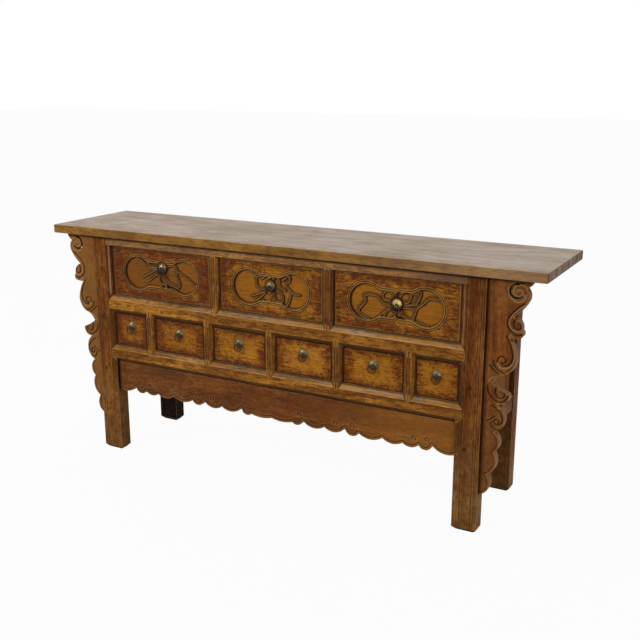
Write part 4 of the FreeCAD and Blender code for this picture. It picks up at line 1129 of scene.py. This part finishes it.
def carved_apron(material):
    """The apron with a line and small scrolls cut along its scalloped edge."""
    sizes = bpy.context.scene.altar_carving
    low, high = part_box("apron_front")
    end = high.x / MM
    edges = front_outline(
        "apron_front", lambda run: run[:, 1].max() < high.z / MM - 1 and np.abs(run[:, 0]).min() < end - 1
    )
    curls = [
        curl_path(side * across, low.z / MM + up, side)
        for across, up in APRON_CURLS for side in (-1, 1)
    ]

    def carving(x, z):
        edge = outline_distance(edges, x, z)
        line = np.abs(edge - APRON_LINE_INSET)
        for curl in curls:
            line = np.minimum(line, path_distance(curl, x, z))
        # The cut mask darkens the line with soiling and painted shade.
        cut = ridge(line, 0, APRON_LINE_HALF)
        raised = ridge(line, 4.2, 1.8)
        worn_edge = ridge(edge, 0, WORN_EDGE)
        depth = 0.8 + 2.2 * cut - 0.6 * raised + 0.8 * worn_edge + hand_ripple(x, z)
        return depth, 0.75 * cut, np.maximum(0.2 * raised, 0.35 * worn_edge)

    made = fine_copy("apron_front", "apron_carved", sizes.apron_voxel)
    carve_face(made, low, carving)
    put_in_place(made, "apron_front", "frame", material)


# Operators

def dress(names, material):
    """Give CAD nodes their finish."""
    for name in names:
        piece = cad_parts[name]
        if not piece.material_slots:
            piece.data.materials.append(material)
        for slot in piece.material_slots:
            slot.material = material


class ALTAR_OT_top(bpy.types.Operator):
    """Finish the top board."""

    bl_idname = "altar.top"
    bl_label = "Top board"

    def execute(self, context):
        dress(["top_board"], top_timber())
        return {"FINISHED"}


class ALTAR_OT_legs(bpy.types.Operator):
    """Finish the four legs."""

    bl_idname = "altar.legs"
    bl_label = "Legs"

    def execute(self, context):
        dress(["leg_front_left", "leg_front_right"], leg_timber("leg_timber", 0.0))
        # The back legs get painted shade on their front and inner faces.
        dress(["leg_back_left"], leg_timber("back_left_leg_timber", 1.0))
        dress(["leg_back_right"], leg_timber("back_right_leg_timber", 0.35))
        return {"FINISHED"}


class ALTAR_OT_rails(bpy.types.Operator):
    """Finish the rails and the uprights between the drawers."""

    bl_idname = "altar.rails"
    bl_label = "Rails and uprights"

    def execute(self, context):
        long_rails = ["top_rail_front", "mid_rail_front", "lower_rail_front"]
        dress(long_rails + ["back_rail_upper", "back_rail_lower"], rail_timber("rail_timber", "X"))
        dress(["side_rail_left", "side_rail_right"], rail_timber("end_rail_timber", "Y"))
        dress(["upper_stiles", "lower_stiles"], rail_timber("upright_timber", "Z", 0.22))
        return {"FINISHED"}


class ALTAR_OT_panels(bpy.types.Operator):
    """Finish the end and back panels."""

    bl_idname = "altar.panels"
    bl_label = "Panels"

    def execute(self, context):
        dress(["side_panel_left", "side_panel_right", "back_panel"], panel_timber())
        return {"FINISHED"}


class ALTAR_OT_inside(bpy.types.Operator):
    """Finish the boards, the guides and the drawer boxes inside."""

    bl_idname = "altar.inside"
    bl_label = "Inside boards"

    def execute(self, context):
        boards = ["middle_board", "bottom_board", "upper_guides", "lower_guides"]
        boxes = [drawer + "_box" for drawer in LARGE_DRAWERS + SMALL_DRAWERS]
        dress(boards + boxes, inner_timber())
        return {"FINISHED"}


class ALTAR_OT_drawer_fronts(bpy.types.Operator):
    """Carve the large drawer fronts and finish all nine."""

    bl_idname = "altar.drawer_fronts"
    bl_label = "Drawer fronts"

    def execute(self, context):
        material = drawer_timber()
        for drawer in LARGE_DRAWERS:
            carved_front(drawer, material)
        dress([drawer + "_front" for drawer in SMALL_DRAWERS], material)
        return {"FINISHED"}


class ALTAR_OT_pulls(bpy.types.Operator):
    """Finish the bosses and rings."""

    bl_idname = "altar.pulls"
    bl_label = "Pulls"

    def execute(self, context):
        dull = old_brass("dull_brass", 0.65, "film")
        bright = old_brass("rubbed_brass", 0.2, "film")
        brown = old_brass("brown_brass", 0.9, "ring_film")
        for drawer in LARGE_DRAWERS + SMALL_DRAWERS:
            dress([drawer + "_boss"], dull)
            dress([drawer + "_ring"], brown)
        dress(["upper_drawer_3_boss"], bright)
        return {"FINISHED"}


class ALTAR_OT_wings(bpy.types.Operator):
    """Carve both wings."""

    bl_idname = "altar.wings"
    bl_label = "Wings"

    def execute(self, context):
        material = wing_timber()
        for side in ("wing_left", "wing_right"):
            carved_wing(side, material)
        return {"FINISHED"}


class ALTAR_OT_apron(bpy.types.Operator):
    """Carve the apron."""

    bl_idname = "altar.apron"
    bl_label = "Apron"

    def execute(self, context):
        carved_apron(apron_timber())
        return {"FINISHED"}


def floor_material(share):
    """A pale floor that shows nearly white and keeps the table's shadow."""
    material = bpy.data.materials.new("studio_floor")
    material.use_nodes = True
    tree = material.node_tree
    shader = tree.nodes["Principled BSDF"]
    shader.inputs["Roughness"].default_value = 0.9
    spot = tree.nodes.new("ShaderNodeTexCoord").outputs["Object"]
    cloud = fade(tree, noise(tree, spot, 2.0), 0.3, 0.7)
    pale = blend(tree, cloud, (0.6, 0.6, 0.6, 1), (0.66, 0.66, 0.66, 1))
    feed(tree, shader.inputs["Base Color"], pale)
    white = node(tree, "Emission", {"Color": (1, 1, 1, 1), "Strength": 1.0})
    path = tree.nodes.new("ShaderNodeLightPath").outputs
    seen = maths(tree, "MAXIMUM", path["Is Camera Ray"], path["Is Glossy Ray"])
    mixed = tree.nodes.new("ShaderNodeMixShader")
    feed(tree, mixed.inputs[0], maths(tree, "MULTIPLY", seen, share))
    feed(tree, mixed.inputs[1], shader.outputs[0])
    feed(tree, mixed.inputs[2], white.outputs[0])
    feed(tree, tree.nodes["Material Output"].inputs["Surface"], mixed.outputs[0])
    return material


def studio_world(strength):
    """An even white room, plain white where it is seen."""
    world = bpy.data.worlds.new("studio_room")
    world.use_nodes = True
    tree = world.node_tree
    tree.nodes.clear()
    even = node(tree, "Background", {"Color": (1, 1, 1, 1), "Strength": strength})
    white = node(tree, "Background", {"Color": (1, 1, 1, 1), "Strength": 1.0})
    path = tree.nodes.new("ShaderNodeLightPath").outputs
    seen = maths(tree, "MAXIMUM", path["Is Camera Ray"], path["Is Glossy Ray"])
    seen = maths(tree, "MAXIMUM", seen, path["Is Transmission Ray"])
    mixed = tree.nodes.new("ShaderNodeMixShader")
    feed(tree, mixed.inputs[0], seen)
    feed(tree, mixed.inputs[1], even.outputs[0])
    feed(tree, mixed.inputs[2], white.outputs[0])
    output = tree.nodes.new("ShaderNodeOutputWorld")
    feed(tree, output.inputs["Surface"], mixed.outputs[0])
    bpy.context.scene.world = world


def soft_lamp(name, place, power, width):
    """A square lamp aimed at the middle of the table."""
    lamp = bpy.data.lights.new(name, "AREA")
    lamp.energy = power
    lamp.size = width
    made = bpy.data.objects.new(name, lamp)
    made.location = place
    aim = Vector((0, 0, 0.5)) - Vector(place)
    made.rotation_euler = aim.to_track_quat("-Z", "Y").to_euler()
    bpy.context.scene.collection.objects.link(made)


class ALTAR_OT_stage(bpy.types.Operator):
    """Set the floor, the light and the camera."""

    bl_idname = "altar.stage"
    bl_label = "Studio"

    def execute(self, context):
        studio = context.scene.altar_studio
        reach = 30.0
        corners = [(-reach, -reach, 0), (reach, -reach, 0), (reach, reach, 0), (-reach, reach, 0)]
        floor = mesh_object("studio_floor", corners, [(0, 1, 2, 3)])
        floor.data.materials.append(floor_material(studio.backdrop_share))
        studio_world(studio.sky_strength)
        soft_lamp("key_lamp", (-2.6, -3.4, 3.0), studio.key_power, 1.6)
        soft_lamp("fill_lamp", (3.4, -3.0, 2.2), studio.fill_power, 2.4)
        camera = bpy.data.cameras.new("photo_camera")
        camera.lens = studio.camera_lens
        camera.sensor_width = 36
        made = bpy.data.objects.new("photo_camera", camera)
        made.location = studio.camera_place
        made.rotation_euler = (studio.camera_tilt, 0, studio.camera_turn)
        context.scene.collection.objects.link(made)
        context.scene.camera = made
        context.scene.view_settings.view_transform = "Standard"
        return {"FINISHED"}


OPERATORS = (
    ALTAR_OT_top, ALTAR_OT_legs, ALTAR_OT_rails, ALTAR_OT_panels, ALTAR_OT_inside,
    ALTAR_OT_drawer_fronts, ALTAR_OT_pulls, ALTAR_OT_wings, ALTAR_OT_apron, ALTAR_OT_stage,
)


class ALTAR_PT_panel(bpy.types.Panel):
    """Lists what can be built."""

    bl_idname = "ALTAR_PT_panel"
    bl_label = "Altar table"
    bl_space_type = "VIEW_3D"
    bl_region_type = "UI"
    bl_category = "Altar table"

    def draw(self, context):
        for operator in OPERATORS:
            self.layout.operator(operator.bl_idname)


CLASSES = (TimberFinish, CarvingSizes, StudioSettings) + OPERATORS + (ALTAR_PT_panel,)


def register():
    for made in CLASSES:
        bpy.utils.register_class(made)
    bpy.types.Scene.altar_finish = PointerProperty(type=TimberFinish)
    bpy.types.Scene.altar_carving = PointerProperty(type=CarvingSizes)
    bpy.types.Scene.altar_studio = PointerProperty(type=StudioSettings)


def unregister():
    del bpy.types.Scene.altar_studio
    del bpy.types.Scene.altar_carving
    del bpy.types.Scene.altar_finish
    for made in reversed(CLASSES):
        bpy.utils.unregister_class(made)


def main():
    """Dress the table and light it."""
    register()
    for name in (
        "top", "legs", "rails", "panels", "inside", "drawer_fronts", "pulls", "wings", "apron", "stage"
    ):
        getattr(bpy.ops.altar, name)()


if __name__ == "__main__":
    main()
